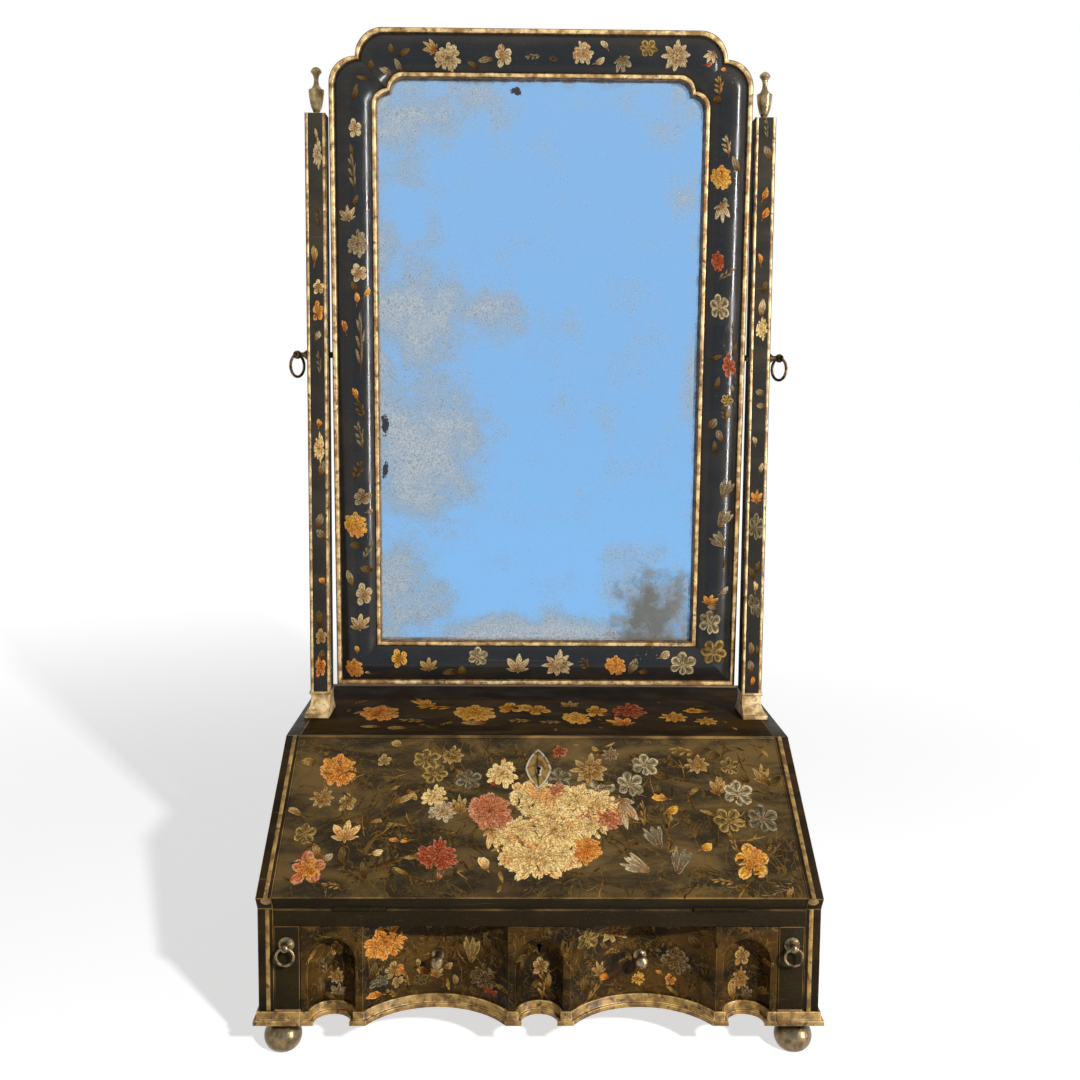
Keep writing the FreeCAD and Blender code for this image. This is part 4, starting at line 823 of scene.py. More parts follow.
def finished(piece: Piece, body: str, slot: str, *nodes: str) -> Piece:
    """Hands a piece to the frame and reports it.

    Args:
        piece: The piece.
        body: The body that it moves with.
        slot: The record's material slot; not used.
        nodes: CAD nodes that it stands for.

    Returns:
        The same piece.
    """
    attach(piece, body)
    if nodes:
        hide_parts(*nodes)
    LOG.info("%s rides on %s, %d faces", piece.name, body, len(piece.data.polygons))
    return piece


def shaded(mesh: Mesh, crease: float) -> None:
    """Shades a mesh smooth except across edges sharper than the crease, in degrees."""
    mesh.shade_smooth()
    mesh.set_sharp_from_angle(angle=math.radians(crease))


def closed_mesh(name: str, points: Sequence[Vector], faces: Sequence[Sequence[int]],
                material: Material, crease: float = 40.0) -> Piece:
    """Makes a closed shell with its faces outwards.

    Args:
        name: Name of the piece.
        points: Its points, in metres.
        faces: Its faces by point number.
        material: Its finish.
        crease: Edges sharper than this stay sharp, in degrees.

    Returns:
        The new object.
    """
    mesh = bpy.data.meshes.new(name)
    mesh.from_pydata([tuple(point) for point in points], [], faces)
    work = bmesh.new()
    work.from_mesh(mesh)
    bmesh.ops.remove_doubles(work, verts=work.verts, dist=0.1 * WELD)
    bmesh.ops.recalc_face_normals(work, faces=work.faces)
    work.to_mesh(mesh)
    work.free()
    mesh.materials.append(material)
    shaded(mesh, crease)
    return bare_object(name, mesh)


def loft(rings: Sequence[Sequence[Vector]], closed: bool) -> tuple[list[Vector], list[list[int]]]:
    """Skins a row of rings.

    Args:
        rings: Rings with the same number of points.
        closed: True where the last ring joins the first, false where both ends get a cap.

    Returns:
        Points and faces.
    """
    size = len(rings[0])
    points = [point for ring in rings for point in ring]
    faces = []
    spans = len(rings) if closed else len(rings) - 1
    for row in range(spans):
        below = row * size
        above = (row + 1) % len(rings) * size
        for spot in range(size):
            after = (spot + 1) % size
            faces.append([below + spot, below + after, above + after, above + spot])
    if not closed:
        faces.append(list(range(size)))
        faces.append(list(range(len(points) - size, len(points))))
    return points, faces


def evaluated_mesh(piece: Piece) -> Mesh:
    """The plain mesh of an object with its modifiers applied.

    Args:
        piece: The object.

    Returns:
        A new mesh.
    """
    bpy.context.view_layer.update()
    graph = bpy.context.evaluated_depsgraph_get()
    return bpy.data.meshes.new_from_object(piece.evaluated_get(graph), depsgraph=graph)


def settled(piece: Piece) -> Piece:
    """Applies and removes an object's modifiers.

    Args:
        piece: The object.

    Returns:
        The same object, with a plain mesh.
    """
    mesh = evaluated_mesh(piece)
    piece.modifiers.clear()
    old = piece.data
    piece.data = mesh
    bpy.data.meshes.remove(old)
    return piece


@dataclass(frozen=True)
class Dressing:
    """How a CAD board is dressed: its finish, the finish of its worn arrises and their width."""

    surface: Material
    edge: Optional[Material]
    slot: str
    bevel: float = 0.5
    crease: float = 30.0

    def apply(self, node: str) -> Piece:
        """Makes a softened copy of a CAD node that stands for it.

        Args:
            node: Name of the CAD node.

        Returns:
            The dressed piece.
        """
        source = frame["nodes"][node]
        mesh = source.data.copy()
        work = bmesh.new()
        work.from_mesh(mesh)
        bmesh.ops.remove_doubles(work, verts=work.verts, dist=WELD)
        flat = math.radians(FLAT_ANGLE)
        bmesh.ops.dissolve_limit(work, angle_limit=flat, verts=work.verts, edges=work.edges)
        work.to_mesh(mesh)
        work.free()
        mesh.materials.clear()
        mesh.materials.append(self.surface)
        piece = bare_object(f"{node}_dressed", mesh)
        if self.edge:
            mesh.materials.append(self.edge)
            round_over = piece.modifiers.new("worn_arris", "BEVEL")
            round_over.width = self.bevel * MM
            round_over.segments = 2
            round_over.limit_method = "ANGLE"
            round_over.angle_limit = math.radians(self.crease)
            round_over.material = 1
            settled(piece)
        shaded(piece.data, self.crease)
        return finished(piece, source["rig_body"], self.slot, node)

    def apply_all(self, *nodes: str) -> list[Piece]:
        """The dressed pieces of several CAD nodes."""
        return [self.apply(node) for node in nodes]


def refinish(material: Material, *nodes: str) -> None:
    """Gives CAD nodes that stay a better material.

    Args:
        material: The material.
        nodes: Names of the CAD nodes.
    """
    for node in nodes:
        for place in frame["nodes"][node].material_slots:
            place.material = material
        LOG.info("%s keeps its CAD shape", node)


def banded(piece: Piece, place: Vector, way: Vector, facing: Vector, finish: Material) -> None:
    """Cuts a piece along a plane and gives faces beyond it another finish.

    Args:
        piece: The piece.
        place: A point of the plane.
        way: The plane's direction. The faces lie that way.
        facing: The way that the faces look.
        finish: Their finish.
    """
    piece.data.materials.append(finish)
    slot = len(piece.data.materials) - 1
    work = bmesh.new()
    work.from_mesh(piece.data)
    everything = [*work.verts, *work.edges, *work.faces]
    bmesh.ops.bisect_plane(work, geom=everything, plane_co=place, plane_no=way)
    for face in work.faces:
        beyond = (face.calc_center_median() - place).dot(way) > 0.0
        if beyond and face.normal.dot(facing) > BAND_FACING:
            face.material_index = slot
    work.to_mesh(piece.data)
    work.free()


def lathe(name: str, profile: Sequence[Spot], axis: Vector, material: Material,
          sides: int = 32, crease: float = 40.0) -> Piece:
    """Turns a profile about an upright axis.

    Args:
        name: Name of the piece.
        profile: Radius and height of each point, in millimetres, from foot to tip.
        axis: Foot of the axis, in metres.
        material: Its finish.
        sides: Points round the axis.
        crease: Edges sharper than this stay sharp, in degrees.

    Returns:
        The turned piece.
    """
    rings = []
    for radius, height in profile:
        ring = []
        for side in range(sides):
            angle = 2.0 * math.pi * side / sides
            spot = Vector((radius * math.cos(angle), radius * math.sin(angle), height))
            ring.append(axis + spot * MM)
        rings.append(ring)
    points, faces = loft(rings, False)
    return closed_mesh(name, points, faces, material, crease)


class GeometryTree(Nodes):
    """One Geometry Nodes tree that ends with a finish."""

    def __init__(self, name: str, **inputs: str) -> None:
        """Starts the tree.

        Args:
            name: Name of the tree.
            inputs: Kind of each input by name, beside the geometry and the finish.
        """
        super().__init__(bpy.data.node_groups.new(name, "GeometryNodeTree"))
        face = self.tree.interface
        face.new_socket("Geometry", in_out="OUTPUT", socket_type="NodeSocketGeometry")
        self.sockets = {}
        for title, kind in {"Geometry": "Geometry", **inputs, "Finish": "Material"}.items():
            socket = face.new_socket(title, in_out="INPUT", socket_type=f"NodeSocket{kind}")
            self.sockets[title] = socket.identifier
        self.given = self.add("NodeGroupInput").outputs

    def step(self, kind: str, **inputs: Any) -> Socket:
        """Adds a geometry node.

        Args:
            kind: Blender's name of the node type, without its first words.
            inputs: Values or sockets by input name, with underscores for blanks.

        Returns:
            The node's first output.
        """
        found = {name.replace("_", " "): value for name, value in inputs.items()}
        return self.add(f"GeometryNode{kind}", found).outputs[0]

    def named(self, name: str, kind: str) -> Socket:
        """A value that the points carry, by its name and Blender's name of its type."""
        node = self.add("GeometryNodeInputNamedAttribute", {"Name": name}, data_type=kind)
        return node.outputs["Attribute"]

    def end(self, geometry: Socket) -> None:
        """Ends the tree: gives what it made the finish."""
        dressed = self.step("SetMaterial", Geometry=geometry, Material=self.given["Finish"])
        self.add("NodeGroupOutput", {0: dressed})

    def grow(self, piece: Piece, **values: Any) -> None:
        """Runs the tree on a piece, which keeps the result as its plain mesh.

        Args:
            piece: The piece.
            values: Values of the tree's inputs by name.
        """
        modifier = piece.modifiers.new(self.tree.name, "NODES")
        modifier.node_group = self.tree
        for name, value in values.items():
            modifier[self.sockets[name]] = value
        settled(piece)


@dataclass(frozen=True)
class Petals:
    """One whorl of petals on a unit square, with the paint's height in millimetres."""

    count: int
    inner: float
    outer: float
    half_width: float
    start: float = 90.0
    step: float = 360.0
    fullness: float = 0.8
    notch: float = 0.0
    rise: float = 0.04
    shade: float = 1.0
    hollow: float = 0.0
    foot: Spot = (0.0, 0.0)
    rows: int = 6
    rim: float = 1.0
    bend: float = 0.0


MOTIF_WHORLS: dict[Motif, tuple[Petals, ...]] = {
    Motif.BELL: (
        Petals(5, 0.0, 0.95, 0.13, 62.0, 14.0, 0.7, 0.05, foot=(0.0, -0.47), hollow=0.6),
        Petals(3, 0.0, 0.45, 0.10, 50.0, 40.0, 0.9, foot=(0.0, -0.47), shade=0.6),
    ),
    Motif.BLOSSOM: (
        Petals(5, 0.05, 0.5, 0.19, 90.0, 72.0, 0.7, 0.03),
        Petals(5, 0.0, 0.15, 0.05, 54.0, 72.0, 0.8, shade=0.45, rise=0.06, rows=3),
    ),
    Motif.BUD: (
        Petals(2, 0.0, 0.72, 0.26, 78.0, 24.0, 0.85, foot=(0.0, -0.22)),
        Petals(1, 0.0, 0.62, 0.14, 90.0, 0.0, 1.0, foot=(0.0, -0.18), rise=0.07),
        Petals(2, 0.0, 0.32, 0.09, 48.0, 84.0, 1.0, foot=(0.0, -0.24), shade=0.4),
        Petals(1, 0.0, 0.3, 0.035, 270.0, 0.0, 1.0, foot=(0.0, -0.2), shade=0.4, rows=3),
    ),
    Motif.CARNATION: (
        Petals(11, 0.16, 0.5, 0.105, 90.0, 360.0 / 11, 0.65, 0.05),
        Petals(9, 0.06, 0.36, 0.085, 100.0, 40.0, 0.65, 0.05, rise=0.055, shade=0.9),
        Petals(6, 0.0, 0.2, 0.065, 80.0, 60.0, 0.7, 0.03, rise=0.07, shade=0.75, rows=4),
    ),
    Motif.DAB: (Petals(1, 0.0, 1.0, 0.32, 90.0, 0.0, 0.9, foot=(0.0, -0.5), rows=4, rim=0.0, bend=0.12),),
    Motif.LEAF: (
        Petals(1, 0.0, 1.0, 0.40, 90.0, 0.0, 0.9, foot=(0.0, -0.5), rim=0.0, bend=0.1),
        Petals(1, 0.0, 0.8, 0.03, 90.0, 0.0, 1.0, foot=(0.0, -0.5), shade=0.3, rise=0.05, rows=4, rim=0.0,
               bend=0.1),
    ),
    Motif.OUTLINE: (
        Petals(6, 0.08, 0.5, 0.17, 90.0, 60.0, 0.7, hollow=1.0),
        Petals(6, 0.0, 0.14, 0.045, 60.0, 60.0, 0.8, shade=0.7, rise=0.06, rows=3),
    ),
    Motif.PEONY: (
        Petals(13, 0.24, 0.5, 0.105, 90.0, 360.0 / 13, 0.65, 0.05),
        Petals(11, 0.17, 0.43, 0.10, 110.0, 360.0 / 11, 0.65, 0.05, rise=0.05, shade=0.95),
        Petals(9, 0.09, 0.34, 0.09, 75.0, 40.0, 0.65, 0.05, rise=0.06, shade=0.9, rows=5),
        Petals(6, 0.02, 0.24, 0.085, 100.0, 60.0, 0.65, 0.05, rise=0.07, shade=0.85, rows=5),
        Petals(4, 0.0, 0.13, 0.06, 40.0, 90.0, 0.7, rise=0.08, shade=0.7, rows=4),
    ),
    Motif.SPRIG: (
        Petals(1, 0.0, 1.0, 0.035, 90.0, 0.0, 1.0, foot=(0.0, -0.5), shade=0.6, rim=0.0, rows=4),
        Petals(2, 0.0, 0.42, 0.07, 50.0, 80.0, 0.9, foot=(0.0, -0.32), rim=0.0, rows=3, bend=0.1),
        Petals(2, 0.0, 0.38, 0.065, 45.0, 90.0, 0.9, foot=(0.0, -0.06), rim=0.0, rows=3, bend=0.1),
        Petals(2, 0.0, 0.3, 0.055, 52.0, 76.0, 0.9, foot=(0.0, 0.18), rim=0.0, rows=3, bend=0.1),
        Petals(1, 0.0, 0.2, 0.06, 90.0, 0.0, 0.9, foot=(0.0, 0.3), rim=0.0, rows=3),
    ),
    Motif.STAR: (
        Petals(8, 0.1, 0.5, 0.085, 90.0, 45.0, 0.95),
        Petals(8, 0.08, 0.36, 0.07, 112.5, 45.0, 0.95, shade=0.65, rise=0.06),
        Petals(6, 0.0, 0.14, 0.05, 60.0, 60.0, 0.8, rise=0.07, shade=0.8, rows=3),
    ),
    Motif.STEM: (
        Petals(1, 0.0, 1.0, 0.03, 90.0, 0.0, 1.0, foot=(0.0, -0.5), shade=0.8, rim=0.0, bend=0.3),
        Petals(1, 0.0, 0.5, 0.025, 60.0, 0.0, 1.0, foot=(0.0, -0.3), shade=0.7, rim=0.0, rows=4, bend=-0.2),
        Petals(1, 0.0, 0.4, 0.025, 125.0, 0.0, 1.0, foot=(-0.03, -0.1), shade=0.7, rim=0.0, rows=4,
               bend=0.2),
    ),
    Motif.TULIP: (
        Petals(2, 0.0, 0.78, 0.15, 58.0, 64.0, 0.8, foot=(0.0, -0.36)),
        Petals(1, 0.0, 0.84, 0.17, 90.0, 0.0, 0.75, foot=(0.0, -0.36), rise=0.065),
        Petals(2, 0.0, 0.5, 0.08, 22.0, 136.0, 1.0, foot=(0.0, -0.36), shade=0.55),
        Petals(1, 0.0, 0.16, 0.04, 270.0, 0.0, 1.0, foot=(0.0, -0.34), shade=0.5, rows=3),
    ),
}
STRIP_OF_PETAL = (-1.0, 0.0, 1.0)


class MotifStock:
    """The painter's stock as small meshes in one collection, taken away once the sprays are made."""

    FIELDS = ("across", "along", "rise", "shade", "hollow", "rim")
    OVERLAP = 0.018
    OVERLAPS = 3
    FIRST_SEED = 5
    TURN_STRAY = 9.0
    LENGTH_STRAY = 0.15
    WIDTH_STRAY = 0.24

    def __init__(self) -> None:
        """Draws every motif."""
        self.collection = bpy.data.collections.new("motif_stock")
        for motif in Motif:
            self.collection.objects.link(self.draw(motif))

    def draw(self, motif: Motif) -> Piece:
        """Draws one motif.

        Args:
            motif: Which one.

        Returns:
            The motif's object, on a unit square.
        """
        points: list[Vector] = []
        faces: list[list[int]] = []
        fields: dict[str, list[float]] = {name: [] for name in self.FIELDS}
        chance = random.Random(motif.value + self.FIRST_SEED)
        for layer, whorl in enumerate(MOTIF_WHORLS[motif]):
            for number in range(whorl.count):
                height = whorl.rise + self.OVERLAP * (layer + number % self.OVERLAPS)
                uneven = [chance.uniform(-1.0, 1.0) for _ in range(3)]
                self.petal(whorl, number, height, uneven, points, faces, fields)
        mesh = bpy.data.meshes.new(f"motif_{motif.value:02d}")
        mesh.from_pydata([tuple(point) for point in points], [], faces)
        for name, values in fields.items():
            mesh.attributes.new(name, "FLOAT", "POINT").data.foreach_set("value", values)
        return bpy.data.objects.new(f"motif_{motif.value:02d}_{motif.name.lower()}", mesh)

    def petal(self, whorl: Petals, number: int, height: float, uneven: Sequence[float],
              points: list[Vector], faces: list[list[int]], fields: dict[str, list[float]]) -> None:
        """Adds one petal.

        Args:
            whorl: The whorl that it belongs to.
            number: Its number in the whorl.
            height: The paint's height on it, in millimetres.
            uneven: How its turn, length and width stray, from -1 to 1.
            points: Points so far.
            faces: Faces so far.
            fields: Values so far, by name.
        """
        angle = math.radians(whorl.start + whorl.step * number + self.TURN_STRAY * uneven[0])
        outer = whorl.outer * (1.0 + self.LENGTH_STRAY * uneven[1])
        half_width = whorl.half_width * (1.0 + self.WIDTH_STRAY * uneven[2])
        ahead = Vector((math.cos(angle), math.sin(angle), 0.0))
        side = Vector((-ahead.y, ahead.x, 0.0))
        foot = Vector((whorl.foot[0], whorl.foot[1], 0.0))
        first = len(points)
        for row in range(whorl.rows + 1):
            along = row / whorl.rows
            swell = math.sin(math.pi * (0.06 + 0.9 * along) ** (1.0 / whorl.fullness)) ** 0.8
            reach = whorl.inner + (outer - whorl.inner) * along
            for share in STRIP_OF_PETAL:
                dip = whorl.notch * along ** 4 * (1.0 - abs(share))
                sideways = share * half_width * swell + whorl.bend * along * along
                points.append(foot + ahead * (reach - dip) + side * sideways)
                crown = (0.35 + 0.65 * math.sin(math.pi * along)) * (1.0 - 0.8 * abs(share))
                values = (share, along, height * MM * crown, whorl.shade, whorl.hollow, whorl.rim)
                for name, value in zip(self.FIELDS, values):
                    fields[name].append(value)
        columns = len(STRIP_OF_PETAL)
        for row in range(whorl.rows):
            for column in range(columns - 1):
                start = first + row * columns + column
                faces.append([start, start + columns, start + columns + 1, start + 1])

    def remove(self) -> None:
        """Takes the stock out of the file."""
        for motif in list(self.collection.objects):
            mesh = motif.data
            bpy.data.objects.remove(motif)
            bpy.data.meshes.remove(mesh)
        bpy.data.collections.remove(self.collection)


@dataclass(frozen=True)
class Panel:
    """A painted face: its zero, and its directions across and up."""

    zero: Vector
    across: Vector
    up: Vector

    @property
    def outward(self) -> Vector:
        """The way that the face looks."""
        return self.across.cross(self.up)

    def place(self, across: float, up: float) -> Vector:
        """A point on the panel, from millimetres."""
        return self.zero + (self.across * across + self.up * up) * MM

    def turned(self, degrees: float) -> Quaternion:
        """The turn of a motif on this panel, to the left as seen from in front."""
        base = Matrix((self.across, self.up, self.outward)).transposed().to_quaternion()
        return base @ Quaternion((0.0, 0.0, 1.0), math.radians(degrees))


@dataclass(frozen=True)
class Mark:
    """One motif on a panel, in millimetres and degrees."""

    motif: Motif
    ink: Ink
    across: float
    up: float
    wide: float
    tall: float
    turn: float
    fade: float

    @classmethod
    def read(cls, text: str, fade: float) -> "list[Mark]":
        """Reads a table of marks.

        Args:
            text: The table, one mark between semicolons.
            fade: How worn they are, more is more worn.

        Returns:
            The marks in painting order.
        """
        marks = []
        for entry in text.replace("\n", " ").split(";"):
            motif, ink, *numbers = entry.split()
            across, up, wide, tall, turn = (float(number) for number in numbers)
            kind = Motif[motif.upper()]
            marks.append(cls(kind, Ink[ink.upper()], across, up, wide, tall, turn, fade))
        return marks


@dataclass(frozen=True)
class Filling:
    """Small leaves and dabs strewn between the flowers of one panel, in millimetres."""

    count: int
    left: float
    right: float
    low: float
    high: float
    seed: int
    small: float = 6.0
    large: float = 17.0
    fade: float = 0.06
    motifs: tuple[Motif, ...] = (Motif.LEAF, Motif.DAB, Motif.SPRIG, Motif.LEAF)

    def marks(self) -> list[Mark]:
        """Strews the marks with a fixed seed.

        Returns:
            The marks in painting order.
        """
        chance = random.Random(self.seed)
        inks = (Ink.BROWN, Ink.BROWN, Ink.OLIVE, Ink.GOLD, Ink.OLIVE)
        found = []
        for _ in range(self.count):
            length = chance.uniform(self.small, self.large)
            slim = chance.uniform(0.28, 0.55)
            across = chance.uniform(self.left, self.right)
            up = chance.uniform(self.low, self.high)
            turn = chance.uniform(-180.0, 180.0)
            wear = self.fade + chance.uniform(-0.05, 0.06)
            motif = chance.choice(self.motifs)
            ink = chance.choice(inks)
            found.append(Mark(motif, ink, across, up, length * slim, length, turn, wear))
        return found


class SprayPainter:
    """Lays the motifs on a body's dressed boards with one Geometry Nodes tree."""

    LAYERS = 5
    LAYER_STEP = 0.016
    REACH = 30.0
    LIFT = 0.09
    TREMOR = 2.2
    TREMOR_SCALE = 190.0

    def __init__(self, finishes: Finishes) -> None:
        """Builds the tree and the stock.

        Args:
            finishes: The finishes, with the paint.
        """
        self.stock = MotifStock()
        self.paint = finishes.flower_paint
        self.tree = GeometryTree("painted_sprays", Motifs="Collection", Boards="Collection", Lift="Float",
                                 Reach="Float", Tremor="Float")
        self.build()

    def build(self) -> None:
        """Builds the tree: motifs on points, pressed on to the boards, with the paint's thickness."""
        tree = self.tree
        given = tree.given
        motifs = tree.step("CollectionInfo", Collection=given["Motifs"], Separate_Children=True,
                           Reset_Children=True)
        boards = tree.step("CollectionInfo", Collection=given["Boards"])
        target = tree.step("RealizeInstances", Geometry=boards)
        placed = tree.step("InstanceOnPoints", Points=given["Geometry"], Instance=motifs, Pick_Instance=True,
                           Instance_Index=tree.named("kind", "INT"),
                           Rotation=tree.named("turned", "QUATERNION"),
                           Scale=tree.named("spread", "FLOAT_VECTOR"))
        real = tree.step("RealizeInstances", Geometry=placed)
        outward = tree.named("outward", "FLOAT_VECTOR")
        here = tree.step("InputPosition")
        shake = {"Vector": here, "Scale": self.TREMOR_SCALE, "Detail": 2.0}
        hand = tree.add("ShaderNodeTexNoise", shake).outputs["Color"]
        stray = tree.vector("SUBTRACT", hand, (0.5, 0.5, 0.5))
        drawn = tree.vector("ADD", here, tree.scaled(stray, given["Tremor"]))
        ray = tree.add("GeometryNodeRaycast", {
            "Target Geometry": target,
            "Source Position": tree.vector("ADD", drawn, tree.scaled(outward, given["Reach"])),
            "Ray Direction": tree.scaled(outward, -1.0),
            "Ray Length": tree.times(given["Reach"], 2.0)}).outputs
        missed = tree.add("FunctionNodeBooleanMath", {0: ray["Is Hit"]}, operation="NOT").outputs[0]
        kept = tree.step("DeleteGeometry", Geometry=real, Selection=missed)
        thick = tree.sum("ADD", tree.named("rise", "FLOAT"), tree.named("layer", "FLOAT"))
        thick = tree.sum("ADD", thick, given["Lift"])
        spot = tree.vector("ADD", ray["Hit Position"], tree.scaled(ray["Hit Normal"], thick))
        tree.end(tree.step("SetPosition", Geometry=kept, Position=spot))

    def points(self, name: str, panels: Sequence[tuple[Panel, Sequence[Mark]]]) -> Piece:
        """The points that the motifs stand on.

        Args:
            name: Name of the piece.
            panels: Panels with their marks.

        Returns:
            An object with one point for each mark.
        """
        marks = [(panel, mark) for panel, found in panels for mark in found]
        mesh = bpy.data.meshes.new(name)
        mesh.from_pydata([tuple(panel.place(mark.across, mark.up)) for panel, mark in marks], [], [])
        turns = [panel.turned(mark.turn) for panel, mark in marks]
        sizes = [(mark.wide * MM, mark.tall * MM, 1.0) for _, mark in marks]
        layers = [number % self.LAYERS * self.LAYER_STEP * MM for number in range(len(marks))]
        carried = (
            ("kind", "INT", "value", [int(mark.motif) for _, mark in marks]),
            ("turned", "QUATERNION", "value", [part for turn in turns for part in turn]),
            ("spread", "FLOAT_VECTOR", "vector", [part for size in sizes for part in size]),
            ("outward", "FLOAT_VECTOR", "vector", [part for panel, _ in marks for part in panel.outward]),
            ("layer", "FLOAT", "value", layers),
            ("fade", "FLOAT", "value", [mark.fade for _, mark in marks]),
            ("ink", "FLOAT_COLOR", "color", [part for _, mark in marks for part in mark.ink.value]),
        )
        for title, kind, field, values in carried:
            mesh.attributes.new(title, kind, "POINT").data.foreach_set(field, values)
        return bare_object(name, mesh)

    def paint_on(self, name: str, body: str, boards: Sequence[Piece],
                 panels: Sequence[tuple[Panel, Sequence[Mark]]]) -> Piece:
        """Paints one body's panels.

        Args:
            name: Name of the piece.
            body: The body that it moves with.
            boards: The dressed boards that take the paint.
            panels: Panels with their marks.

        Returns:
            The painted piece.
        """
        piece = self.points(name, panels)
        shelf = bpy.data.collections.new(f"{name}_boards")
        for board in boards:
            shelf.objects.link(board)
        self.tree.grow(piece, Motifs=self.stock.collection, Boards=shelf, Lift=self.LIFT * MM,
                       Reach=self.REACH * MM, Tremor=self.TREMOR * MM, Finish=self.paint)
        bpy.data.collections.remove(shelf)
        piece.data.shade_smooth()
        return finished(piece, body, "lacquer")


class RodLayer:
    """Lays round rods along polylines with one Geometry Nodes tree."""

    SIDES = 14
    CREASE = 50.0

    def __init__(self) -> None:
        """Builds the tree: a round section carried along each path."""
        self.tree = GeometryTree("gilt_rods", Radius="Float", Sides="Int")
        given = self.tree.given
        path = self.tree.step("MeshToCurve", Mesh=given["Geometry"])
        section = self.tree.step("CurvePrimitiveCircle", Resolution=given["Sides"], Radius=given["Radius"])
        rod = self.tree.step("CurveToMesh", Curve=path, Profile_Curve=section, Fill_Caps=True)
        self.tree.end(self.tree.step("RealizeInstances", Geometry=rod))

    def lay(self, name: str, body: str, slot: str, radius: float, finish: Material,
            paths: Sequence[Sequence[Vector]]) -> Piece:
        """Lays rods along paths.

        Args:
            name: Name of the piece.
            body: The body that it moves with.
            slot: The record's material slot.
            radius: Rod radius in millimetres.
            finish: Its material.
            paths: Points of each path, in metres.

        Returns:
            The rods as one piece.
        """
        mesh = bpy.data.meshes.new(name)
        points = [point for path in paths for point in path]
        edges = []
        first = 0
        for path in paths:
            edges += [(first + step, first + step + 1) for step in range(len(path) - 1)]
            first += len(path)
        mesh.from_pydata([tuple(point) for point in points], edges, [])
        piece = bare_object(name, mesh)
        self.tree.grow(piece, Radius=radius * MM, Sides=self.SIDES, Finish=finish)
        shaded(piece.data, self.CREASE)
        return finished(piece, body, slot)


